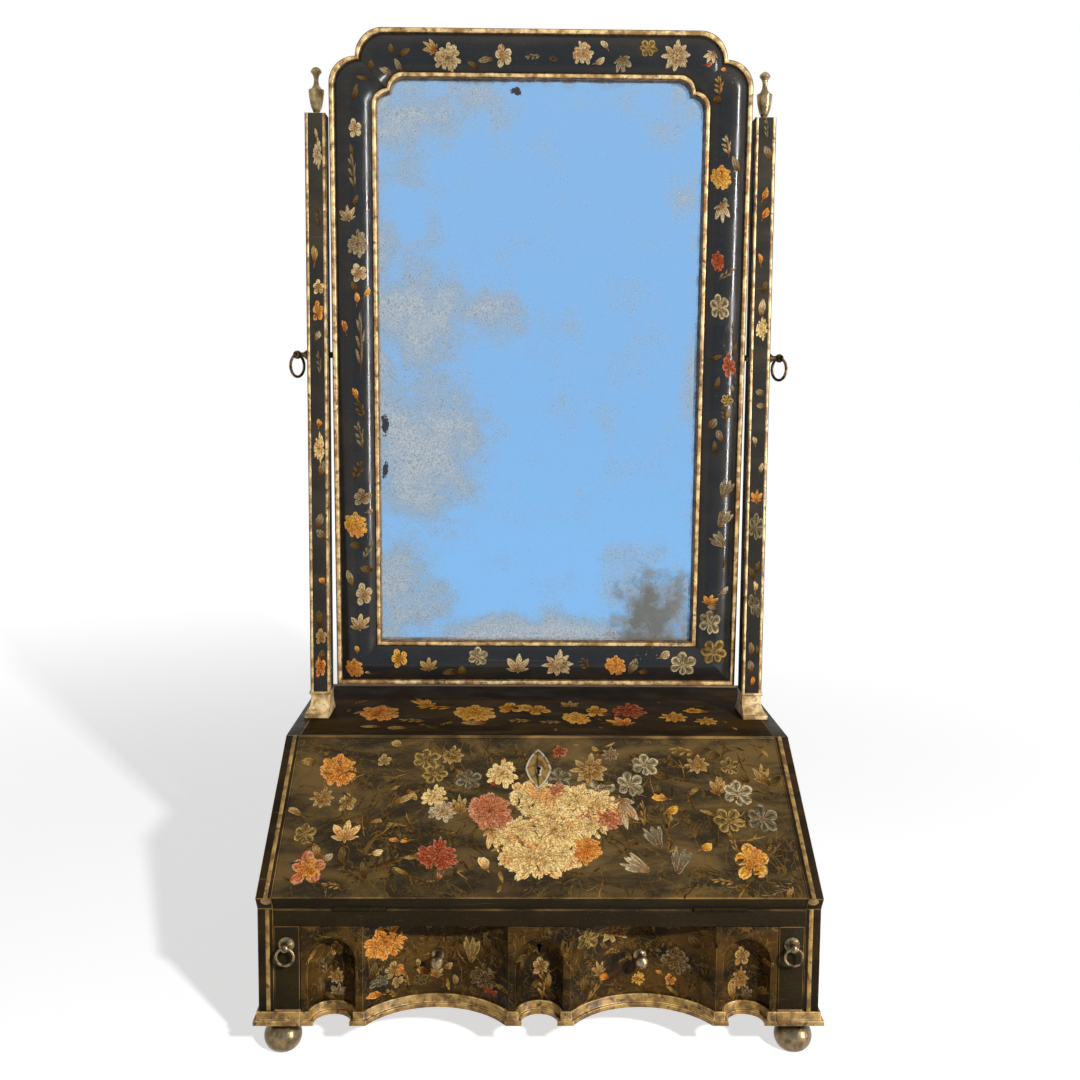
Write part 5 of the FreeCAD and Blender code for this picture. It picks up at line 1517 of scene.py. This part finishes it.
@dataclass
class SwingMirror:
    """The swing mirror: cushion frame, gilt bead and slip, bevelled plate and backboard."""

    finishes: Finishes
    painter: SprayPainter
    pivot_y: float = 55.8
    pivot_z: float = 593.0
    tilt: float = 2.5
    half_width: float = 200.0
    top: float = 304.0
    bottom: float = -328.0
    face: float = 39.5
    cushion: float = 34.0
    shoulder: float = -6.0
    cushion_crest: float = -13.0
    bead_crest: float = -8.75
    slip: float = 5.0
    slip_shoulder: float = -4.0
    slip_crest: float = -6.5
    back: float = 8.0
    rebate_floor: float = 2.0
    rebate: float = 4.0
    outer_inset: float = 25.0
    outer_drop: float = 26.0
    inner_inset: float = 14.5
    inner_drop: float = 15.0
    glass_edge: float = 3.5
    glass_bevel: float = -19.0
    glass_back: float = 5.0
    bevel_fall: float = 0.7
    # Band on the flanks of the bead and slip that is darkened as painted shade, in millimetres.
    bead_line: float = 2.1
    arc_steps: int = 16
    section_steps: int = 14
    frame_crease: float = 32.0
    plate_crease: float = 1.0

    def world(self, across: float, depth: float, up: float) -> Vector:
        """A point of the mirror in the shared frame.

        Args:
            across: Way to the right, in millimetres.
            depth: Way back from the pivot, square to the plate.
            up: Way up from the pivot, along the plate.

        Returns:
            The point in metres.
        """
        lean = math.radians(self.tilt)
        y = self.pivot_y + depth * math.cos(lean) - up * math.sin(lean)
        z = self.pivot_z + depth * math.sin(lean) + up * math.cos(lean)
        return Vector((across, y, z)) * MM

    def stepped_edge(self, edge: float, top: float, bottom: float, inset: float,
                     drop: float) -> list[Spot]:
        """The left half of a frame outline with its stepped and rounded top corner.

        Args:
            edge: Side of the outline.
            top: Top of the outline.
            bottom: Foot of the outline.
            inset: Radius of the lower round.
            drop: Radius of the upper round.

        Returns:
            Points from the foot to the top.
        """
        points = [(edge, bottom)]
        rounds = ((edge + inset, top - drop - inset, inset), (edge + inset + drop, top - drop, drop))
        for middle, height, radius in rounds:
            for step in range(self.arc_steps + 1):
                angle = math.pi - step * math.pi / 2.0 / self.arc_steps
                points.append((middle + radius * math.cos(angle), height + radius * math.sin(angle)))
        return points

    def stations(self) -> list[tuple[Spot, Spot]]:
        """The places where the frame's section is set along its left half.

        Returns:
            Pairs of inner and outer points, from the foot to the top.
        """
        outer = self.stepped_edge(-self.half_width, self.top, self.bottom, self.outer_inset,
                                  self.outer_drop)
        inner = self.stepped_edge(self.face - self.half_width, self.top - self.face,
                                  self.bottom + self.face, self.inner_inset, self.inner_drop)
        return list(zip(inner, outer))

    def mirrored(self, stations: Sequence[tuple[Spot, Spot]]) -> list[tuple[Spot, Spot]]:
        """The same stations on the right, in turned order."""
        return [((-inner[0], inner[1]), (-outer[0], outer[1])) for inner, outer in reversed(stations)]

    def spot(self, station: tuple[Spot, Spot], distance: float, depth: float) -> Vector:
        """A point on a station.

        Args:
            station: Inner and outer point.
            distance: Way from the inner point, in millimetres.
            depth: Depth in the frame's own direction.

        Returns:
            The point in the shared frame.
        """
        inner, outer = station
        share = distance / self.face
        across = inner[0] + (outer[0] - inner[0]) * share
        up = inner[1] + (outer[1] - inner[1]) * share
        return self.world(across, depth, up)

    def crown(self, start: float, end: float, foot: float, crest: float) -> list[Spot]:
        """A round arc over a flat base.

        Args:
            start: Where the arc starts.
            end: Where it ends.
            foot: Depth of its ends.
            crest: Depth of its middle.

        Returns:
            Points along the arc.
        """
        half = (end - start) / 2.0
        rise = foot - crest
        radius = (half * half + rise * rise) / (2.0 * rise)
        sweep = math.asin(min(1.0, half / radius))
        if rise > half:
            sweep = math.pi - sweep
        points = []
        for step in range(self.section_steps + 1):
            angle = -sweep + 2.0 * sweep * step / self.section_steps
            across = start + half + radius * math.sin(angle)
            points.append((across, crest + radius - radius * math.cos(angle)))
        return points

    def skin(self, name: str, stations: Sequence[tuple[Spot, Spot]], section: Sequence[Spot],
             closed: bool, material: Material) -> Piece:
        """Skins a section along stations.

        Args:
            name: Name of the piece.
            stations: Inner and outer points along the way.
            section: Distance and depth of each point of the section.
            closed: True for a ring, False for a length with two ends.
            material: Its finish.

        Returns:
            The skinned piece.
        """
        rings = []
        for station in stations:
            rings.append([self.spot(station, distance, depth) for distance, depth in section])
        points, faces = loft(rings, closed)
        return closed_mesh(name, points, faces, material, self.frame_crease)

    def build_frame(self) -> list[Piece]:
        """Builds the two stiles and two rails.

        Returns:
            The four members.
        """
        section = self.crown(0.0, self.cushion, self.shoulder, self.cushion_crest)
        section += [(self.face, self.shoulder), (self.face, self.back), (self.rebate, self.back),
                    (self.rebate, self.rebate_floor), (0.0, self.rebate_floor)]
        stations = self.stations()
        upright = stations[:self.arc_steps + 2]
        arch = stations[self.arc_steps + 2:]
        foot = stations[:1]
        members = {
            "mirror_stile_left": upright,
            "mirror_top_rail": arch + self.mirrored(arch),
            "mirror_stile_right": self.mirrored(upright),
            "mirror_bottom_rail": self.mirrored(foot) + foot,
        }
        pieces = []
        for node, path in members.items():
            piece = self.skin(f"{node}_dressed", path, section, False, self.finishes.frame_black)
            pieces.append(finished(piece, "mirror", "lacquer", node))
        return pieces

    def build_trim(self) -> None:
        """Builds the gilt bead and the sight slip as mitred rings."""
        stations = self.stations()
        ring = stations + self.mirrored(stations)
        bead = self.crown(self.cushion, self.face, self.shoulder, self.bead_crest)
        piece = self.skin("outer_bead_dressed", ring, bead, True, self.finishes.gilt)
        # Painted shade on the bead's lower flanks.
        self.paint_flank_shade(piece, self.shoulder - self.bead_line)
        finished(piece, "mirror", "gilt", "outer_bead")
        slip = self.crown(-self.slip, 0.0, self.slip_shoulder, self.slip_crest)
        slip += [(0.0, self.rebate_floor), (-self.slip, self.rebate_floor)]
        piece = self.skin("sight_slip_dressed", ring, slip, True, self.finishes.gilt)
        # Painted shade on the slip's lower flank and inner wall.
        self.paint_flank_shade(piece, self.slip_shoulder - self.bead_line)
        finished(piece, "mirror", "gilt", "sight_slip")

    def paint_flank_shade(self, piece: Piece, depth: float) -> None:
        """Gives the faces that lie deeper than a depth a darker gilt, as painted shade on the flanks.

        Args:
            piece: The gilt strip.
            depth: Depth in the frame's own direction, in millimetres.
        """
        piece.data.materials.append(self.finishes.gilt_line)
        inward = self.world(0.0, 1.0, 0.0) - self.world(0.0, 0.0, 0.0)
        limit = depth * MM
        for face in piece.data.polygons:
            way = (face.center - self.world(0.0, 0.0, 0.0)).dot(inward) / inward.length
            if way > limit:
                face.material_index = 1

    def build_plate(self) -> None:
        """Builds the plate: a flat field, a wide bevel and a flat back."""
        left = self.stations()
        loops = ((self.glass_bevel, self.rebate_floor),
                 (self.glass_edge, self.rebate_floor + self.bevel_fall),
                 (self.glass_edge, self.glass_back))
        ring = left + self.mirrored(left)
        rings = [[self.spot(station, distance, depth) for station in ring] for distance, depth in loops]
        points, faces = loft(rings, False)
        size = len(ring)
        # Rows of narrow faces take the place of the two caps.
        faces = faces[:-2]
        for start in (0, (len(rings) - 1) * size):
            for number in range(len(left) - 1):
                other = size - 1 - number
                faces.append([start + number, start + number + 1, start + other - 1, start + other])
        silver = self.finishes.old_plate
        piece = closed_mesh("mirror_glass_dressed", points, faces, silver, self.plate_crease)
        finished(piece, "mirror", "mirror", "mirror_glass")

    def build(self) -> None:
        """Builds and paints the swing mirror."""
        members = self.build_frame()
        self.build_trim()
        self.build_plate()
        wood = self.finishes.wood_upright
        Dressing(wood, wood, "plain_wood").apply("mirror_backboard")
        refinish(self.finishes.dark_brass, "pivot_bushes")
        up = (self.world(0.0, 0.0, 1.0) - self.world(0.0, 0.0, 0.0)).normalized()
        panel = Panel(self.world(0.0, self.shoulder, 0.0), ACROSS, up)
        marks = Mark.read(MIRROR_SPRAYS, 0.02)
        self.painter.paint_on("mirror_sprays", "mirror", members, [(panel, marks)])


@dataclass
class Stand:
    """Posts with gilt corners, flared plinths and turned finials."""

    finishes: Finishes
    rods: RodLayer
    half_span: float = 214.0
    post_y: float = 55.8
    post_wide: float = 19.5
    post_deep: float = 21.0
    post_foot: float = 262.0
    post_top: float = 820.0
    corner_radius: float = 2.1
    corner_proud: float = 0.35
    finial_crease: float = 34.0
    finial: tuple[Spot, ...] = (
        (3.4, 0.0), (3.3, 0.9), (2.6, 1.6), (2.5, 2.4), (3.3, 3.0), (4.9, 6.6), (6.0, 10.8),
        (6.8, 15.6), (7.2, 20.0), (7.4, 22.0), (7.4, 23.0), (6.9, 23.4), (5.2, 23.5), (4.8, 24.4),
        (3.9, 25.8), (2.9, 27.6), (2.3, 30.2), (2.2, 32.6), (2.4, 34.6), (3.0, 36.6), (4.3, 38.4),
        (5.2, 39.6), (5.2, 40.4), (4.6, 41.6), (3.4, 43.0), (1.8, 44.1), (0.0, 44.5))

    def build(self) -> list[Piece]:
        """Builds the stand.

        Returns:
            The two posts, for painting.
        """
        lacquer = Dressing(self.finishes.post_black, self.finishes.worn_edge, "lacquer", 0.4)
        plinth = Dressing(self.finishes.pale_gilt, self.finishes.worn_gilt, "gilt", 0.6)
        posts = []
        paths = []
        inset = self.corner_radius - self.corner_proud
        for side, name in zip((-1.0, 1.0), HANDS):
            posts.append(lacquer.apply(f"post_{name}"))
            plinth.apply(f"post_plinth_{name}")
            middle = side * self.half_span
            for corner in (-1.0, 1.0):
                x = middle + corner * (self.post_wide / 2.0 - inset)
                y = self.post_y - self.post_deep / 2.0 + inset
                paths.append([Vector((x, y, height)) * MM for height in (self.post_foot, self.post_top)])
            foot = Vector((middle, self.post_y, self.post_top)) * MM
            turned = lathe(f"finial_{name}_dressed", self.finial, foot, self.finishes.brass,
                           crease=self.finial_crease)
            finished(turned, "base", "brass", f"finial_{name}")
        self.rods.lay("post_corners", "base", "gilt", self.corner_radius, self.finishes.gilt, paths)
        return posts


@dataclass
class Carcass:
    """The desk-shaped base that does not move."""

    finishes: Finishes
    rods: RodLayer
    front: float = -166.2
    back: float = 178.8
    arris_y: float = -27.1
    shelf_top: float = 238.0
    nose_y: float = -174.17
    nose_z: float = 141.7
    floor: float = 30.0
    edge_x: float = 226.8
    edge_radius: float = 4.4
    edge_proud: float = 0.45
    rail_low: float = 130.0
    worn_line: float = 1.8

    def edge_paths(self) -> list[list[Vector]]:
        """Paths of the gilt strips on the side panels' front edges.

        Returns:
            Points of each path, in metres.
        """
        inset = self.edge_radius - self.edge_proud
        slope = math.atan2(self.shelf_top - self.nose_z, self.arris_y - self.nose_y)
        down = Vector((0.0, math.sin(slope), -math.cos(slope))) * inset
        paths = []
        for side in (-1.0, 1.0):
            x = side * self.edge_x
            y = self.front + inset
            paths.append([Vector((x, y, height)) * MM for height in (self.floor, self.rail_low)])
            slant = ((self.nose_y, self.nose_z), (self.arris_y, self.shelf_top))
            paths.append([(Vector((x, *place)) + down) * MM for place in slant])
        return paths

    def build(self) -> list[Piece]:
        """Builds the base.

        Returns:
            The shelf and the two sides, for painting.
        """
        done = self.finishes
        board = Dressing(done.board_black, done.worn_edge, "lacquer", 0.5)
        shelf = Dressing(done.shelf_black, done.dark_edge, "lacquer", 0.5).apply("shelf_board")
        arris = Vector((0.0, self.arris_y + self.worn_line, self.shelf_top)) * MM
        banded(shelf, arris, FORWARD, UPWARD, done.worn_edge)
        painted = [shelf, *board.apply_all("base_side_left", "base_side_right")]
        rail = Dressing(done.rail_black, done.dark_edge, "lacquer", 0.7).apply("front_rail")
        lip = Vector((0.0, self.front, self.rail_low - self.worn_line)) * MM
        banded(rail, lip, UPWARD, FORWARD, done.dark_edge)
        moulding = Dressing(done.worn_gilt, done.gilt, "gilt", 0.35)
        foot = Dressing(done.foot_gilt, None, "gilt", crease=45.0)
        for side in HANDS:
            moulding.apply(f"base_moulding_{side}")
            for end in ("front", "back"):
                foot.apply(f"foot_{end}_{side}")
        across = Dressing(done.wood_across, done.wood_across, "plain_wood", 0.6)
        deep = Dressing(done.wood_deep, done.wood_deep, "plain_wood", 0.6)
        across.apply_all("back_board", "bottom_board")
        deep.apply_all("foot_blocks", "drawer_guides")
        inner = Dressing(done.red_lacquer, done.dark_edge, "inner_lacquer", 0.5)
        inner.apply_all("desk_bed", "pigeonhole_dividers")
        refinish(done.rail_black, "bed_hinge_leaves", "hinge_pins")
        refinish(done.dark_iron, "bed_hinge_screws")
        paths = self.edge_paths()
        self.rods.lay("side_edge_strips", "base", "gilt", self.edge_radius, done.worn_gilt, paths)
        return painted


@dataclass
class Fall:
    """The sloping writing fall with its key plate, lock and hinges."""

    finishes: Finishes
    painter: SprayPainter
    slope: float = 33.2
    hinge_y: float = -166.5
    hinge_z: float = 130.0
    thick: float = 14.0
    rim_wide: float = 1.5
    facing: float = 0.9
    worn_line: float = 1.8

    def panel(self) -> Panel:
        """Finds the fall's outer face, measured up the slope from the hinge.

        Returns:
            The face as a panel.
        """
        lean = math.radians(self.slope)
        up = Vector((0.0, math.cos(lean), math.sin(lean)))
        off = Vector((0.0, -math.sin(lean), math.cos(lean)))
        zero = Vector((0.0, self.hinge_y, self.hinge_z)) + off * self.thick
        return Panel(zero * MM, ACROSS, up)

    def build_key_plate(self) -> None:
        """Builds the key plate with its bright rim."""
        plate = Dressing(self.finishes.key_brass, None, "brass").apply("fall_escutcheon")
        plate.data.materials.append(self.finishes.key_rim)
        outward = self.panel().outward
        work = bmesh.new()
        work.from_mesh(plate.data)
        front = [face for face in work.faces if face.normal.dot(outward) > self.facing]
        ring = bmesh.ops.inset_region(work, faces=front, thickness=self.rim_wide * MM,
                                      use_even_offset=True, use_boundary=True)
        for face in ring["faces"]:
            face.material_index = 1
        work.to_mesh(plate.data)
        work.free()
        plate.data.shade_flat()

    def build(self) -> None:
        """Builds and paints the fall."""
        done = self.finishes
        board = Dressing(done.fall_black, done.worn_edge, "lacquer", 0.9).apply("fall_board")
        panel = self.panel()
        banded(board, panel.place(0.0, self.worn_line), -panel.up, panel.outward, done.worn_edge)
        # The lower edge face, which looks down, gets the darker rail lacquer as painted shade.
        banded(board, panel.place(0.0, self.worn_line), -panel.up, -panel.up, done.rail_black)
        middle = panel.zero - panel.outward * self.thick / 2.0 * MM
        banded(board, middle, -panel.outward, -panel.outward, done.red_lacquer)
        self.build_key_plate()
        refinish(done.dark_iron, "fall_lock", "fall_lock_bolt", "fall_hinge_screws")
        refinish(done.rail_black, "fall_hinge_leaves")
        marks = Filling(count=170, left=-214.0, right=214.0, low=4.0, high=166.0, seed=17, small=18.0,
                        large=44.0, fade=0.04, motifs=(Motif.STEM,)).marks()
        marks += Filling(count=190, left=-214.0, right=214.0, low=6.0, high=166.0, seed=11).marks()
        marks += Mark.read(FALL_SPRAYS, 0.0)
        self.painter.paint_on("fall_sprays", "fall", [board], [(panel, marks)])


@dataclass
class Drawer:
    """The long shaped drawer with its knobs, gilt foot and lock."""

    finishes: Finishes
    painter: SprayPainter
    front: float = -166.2
    hollow_deep: float = 12.0

    def build(self) -> None:
        """Builds and paints the drawer."""
        done = self.finishes
        board = Dressing(done.drawer_black, done.worn_edge, "lacquer", 0.8).apply("drawer_front")
        Dressing(done.worn_gilt, done.gilt, "gilt", 0.35).apply("drawer_moulding")
        for side in HANDS:
            Dressing(done.pale_metal, None, "pale_metal", crease=45.0).apply(f"drawer_knob_{side}")
            Dressing(done.wood_deep, done.wood_deep, "plain_wood", 0.6).apply(f"drawer_side_{side}")
        across = Dressing(done.wood_across, done.wood_across, "plain_wood", 0.6)
        across.apply_all("drawer_back", "drawer_bottom")
        refinish(done.dark_iron, "drawer_lock", "drawer_lock_bolt")
        panel = Panel(Vector((0.0, self.front + self.hollow_deep, 0.0)) * MM, ACROSS, UPWARD)
        marks = Filling(count=110, left=-197.0, right=197.0, low=42.0, high=112.0, seed=29, small=12.0,
                        large=30.0, fade=0.04, motifs=(Motif.STEM,)).marks()
        marks += Filling(count=170, left=-197.0, right=197.0, low=44.0, high=112.0, seed=23, small=6.0,
                         large=15.0).marks()
        marks += Mark.read(DRAWER_SPRAYS, 0.0)
        self.painter.paint_on("drawer_sprays", "drawer", [board], [(panel, marks)])


@dataclass
class Hardware:
    """Lopers with their studs and rings, and the pivot screws of the mirror."""

    finishes: Finishes

    def build(self) -> None:
        """Builds the lopers and the pivots."""
        done = self.finishes
        turned = Dressing(done.grey_metal, None, "brass", crease=45.0)
        pivot = Dressing(done.dark_brass, None, "brass", crease=45.0)
        for side in HANDS:
            Dressing(done.rail_black, done.worn_edge, "lacquer", 0.5).apply(f"loper_{side}")
            turned.apply_all(f"loper_stud_{side}", f"loper_ring_{side}")
            pivot.apply_all(f"pivot_screw_{side}", f"pivot_ring_{side}")


@dataclass
class BasePainting:
    """Sprays on the posts and the shelf, and a few on the sides."""

    painter: SprayPainter
    post_face: float = 45.3
    arris_y: float = -27.1
    shelf_top: float = 238.0
    side_face: float = 235.0

    def build(self, posts: Sequence[Piece], boards: Sequence[Piece]) -> None:
        """Paints the base.

        Args:
            posts: The two posts.
            boards: The shelf and the sides.
        """
        stand = Panel(Vector((0.0, self.post_face, 0.0)) * MM, ACROSS, UPWARD)
        shelf = Panel(Vector((0.0, self.arris_y, self.shelf_top)) * MM, ACROSS, Vector((0.0, 1.0, 0.0)))
        shelf_marks = Filling(count=30, left=-190.0, right=190.0, low=12.0, high=130.0, seed=31, small=8.0,
                              large=22.0).marks()
        shelf_marks += Mark.read(SHELF_SPRAYS, 0.05)
        panels = [(stand, Mark.read(POSTS_SPRAYS, 0.02)), (shelf, shelf_marks)]
        for hand in (-1.0, 1.0):
            zero = Vector((hand * self.side_face, 0.0, 0.0)) * MM
            side = Panel(zero, Vector((0.0, hand, 0.0)), UPWARD)
            panels.append((side, Mark.read(SIDE_SPRAYS, 0.03)))
        self.painter.paint_on("base_sprays", "base", [*posts, *boards], panels)


@dataclass
class Studio:
    """Camera at the photograph's place, pale floor, soft lights and a sky for the plate."""

    eye: tuple[float, float, float] = (-0.02535, -1.1546, 0.55652)
    yaw: float = 0.81
    pitch: float = 5.69
    roll: float = -0.41
    lens: float = 41.07
    shift_x: float = 0.00985
    shift_y: float = -0.0214
    aim: tuple[float, float, float] = (0.0, 0.0, 0.35)
    sun_way: tuple[float, float, float] = (43.2, -77.9, 45.4)
    sun_reach: float = 3.0
    sun_size: float = 0.14
    sun_power: float = 100.0
    strip_place: tuple[float, float, float] = (1.4, -1.0, 0.75)
    strip_size: tuple[float, float] = (0.08, 1.4)
    strip_power: float = 60.0
    fill_light: float = 0.09
    floor_glow: tuple[float, float] = (0.66, 0.96)
    floor_fade: tuple[float, float] = (0.55, 2.4)
    card_radius: float = 0.75
    card_top: float = 1.7
    card_sweep: float = 40.0
    card_fade: tuple[float, float] = (0.36, 0.47)
    card_steps: int = 24
    floor_reach: float = 9.0

    def build_camera(self) -> None:
        """Sets up the camera."""
        yaw, pitch, roll = (math.radians(turn) for turn in (self.yaw, self.pitch, self.roll))
        ahead = Vector((math.sin(yaw) * math.cos(pitch), math.cos(yaw) * math.cos(pitch), -math.sin(pitch)))
        right = Vector((math.cos(yaw), -math.sin(yaw), 0.0))
        down = ahead.cross(right)
        level = right * math.cos(roll) + down * math.sin(roll)
        sunk = down * math.cos(roll) - right * math.sin(roll)
        data = bpy.data.cameras.new("photo_camera")
        data.lens = self.lens
        data.shift_x = self.shift_x
        data.shift_y = self.shift_y
        camera = bpy.data.objects.new("photo_camera", data)
        turn = Matrix((level, -sunk, -ahead)).transposed().to_4x4()
        camera.matrix_world = Matrix.Translation(self.eye) @ turn
        bpy.context.scene.collection.objects.link(camera)
        bpy.context.scene.camera = camera

    def area_light(self, name: str, place: Vector, size: Spot, power: float, shines: bool) -> None:
        """Adds a soft light that looks at the piece.

        Args:
            name: Its name.
            place: Its place.
            size: Width and height.
            power: Its power in watts.
            shines: True for a lamp that only polished faces show, False for one that only lights.
        """
        data = bpy.data.lights.new(name, "AREA")
        data.shape = "RECTANGLE"
        data.size = size[0]
        data.size_y = size[1]
        data.energy = power
        lamp = bpy.data.objects.new(name, data)
        turn = (place - Vector(self.aim)).to_track_quat("Z", "Y")
        lamp.matrix_world = Matrix.Translation(place) @ turn.to_matrix().to_4x4()
        lamp.visible_glossy = shines
        lamp.visible_diffuse = not shines
        bpy.context.scene.collection.objects.link(lamp)

    def build_floor(self) -> None:
        """Lays the pale floor."""
        shader = Shader("pale_floor")
        glow = shader.fade(shader.length(shader.place), *self.floor_fade, *self.floor_glow)
        pale = shader.mix(shader.noise(3.0), tone(200, 200, 200), tone(206, 206, 206))
        shader.dress(base_color=pale, roughness=0.9, specular_ior_level=0.0,
                     emission_color=tone(255, 255, 255),
                     emission_strength=shader.times(shader.seen(), glow))
        mesh = bpy.data.meshes.new("pale_floor")
        ways = ((-1, -1), (1, -1), (1, 1), (-1, 1))
        corners = [(x * self.floor_reach, y * self.floor_reach, 0.0) for x, y in ways]
        mesh.from_pydata(corners, [], [(0, 1, 2, 3)])
        mesh.materials.append(shader.material)
        bare_object("pale_floor", mesh)

    def build_sky_card(self) -> None:
        """Hangs a curved sky-coloured card in front, seen only in reflections."""
        shader = Shader("sky_card")
        place = shader.add("ShaderNodeSeparateXYZ", {0: shader.place}).outputs
        height = place["Z"]
        low = shader.mix(shader.fade(height, 0.05, 0.55), tone(146, 202, 253), tone(146, 197, 246))
        sky = shader.mix(shader.fade(height, 0.5, 1.2), low, tone(152, 197, 241))
        side = shader.sum("ABSOLUTE", place["X"])
        sky = shader.mix(shader.fade(side, *self.card_fade), sky, tone(255, 255, 255))
        glow = shader.add("ShaderNodeEmission", {"Color": sky, "Strength": 1.0})
        shader.feed(shader.output.inputs["Surface"], glow.outputs[0])
        steps = self.card_steps
        points = []
        for step in range(steps + 1):
            angle = math.radians(-90.0 - self.card_sweep + 2.0 * self.card_sweep * step / steps)
            x = self.card_radius * math.cos(angle)
            y = self.card_radius * math.sin(angle)
            points += [(x, y, rise) for rise in (0.0, self.card_top)]
        faces = [(2 * step, 2 * step + 2, 2 * step + 3, 2 * step + 1) for step in range(steps)]
        mesh = bpy.data.meshes.new("sky_card")
        mesh.from_pydata(points, [], faces)
        mesh.materials.append(shader.material)
        card = bare_object("sky_card", mesh)
        for way in ("camera", "diffuse", "transmission", "shadow", "volume_scatter"):
            setattr(card, f"visible_{way}", False)

    def build_world(self) -> None:
        """Makes the background white to the eye and soft as a light."""
        world = bpy.data.worlds.new("studio")
        bpy.context.scene.world = world
        world.use_nodes = True
        nodes = Nodes(world.node_tree)
        world.node_tree.nodes.clear()
        strength = nodes.times_plus(nodes.seen(), 1.0 - self.fill_light, self.fill_light)
        white = tone(255, 255, 255)
        back = nodes.add("ShaderNodeBackground", {"Color": white, "Strength": strength})
        nodes.add("ShaderNodeOutputWorld", {"Surface": back.outputs[0]})

    def build(self) -> None:
        """Builds the studio."""
        bpy.context.scene.view_settings.view_transform = "Standard"
        self.build_camera()
        aim = Vector(self.aim)
        self.area_light("sun_window", aim + Vector(self.sun_way).normalized() * self.sun_reach,
                        (self.sun_size, self.sun_size), self.sun_power, False)
        self.area_light("right_strip", Vector(self.strip_place), self.strip_size, self.strip_power, True)
        self.build_floor()
        self.build_sky_card()
        self.build_world()


def main() -> None:
    """Builds every sub-assembly in order."""
    logging.basicConfig(level=logging.INFO, format="%(name)s: %(message)s")
    Studio().build()
    finishes = Finishes()
    painter = SprayPainter(finishes)
    rods = RodLayer()
    SwingMirror(finishes, painter).build()
    posts = Stand(finishes, rods).build()
    boards = Carcass(finishes, rods).build()
    BasePainting(painter).build(posts, boards)
    Fall(finishes, painter).build()
    Drawer(finishes, painter).build()
    Hardware(finishes).build()
    painter.stock.remove()


if __name__ == "__main__":
    main()
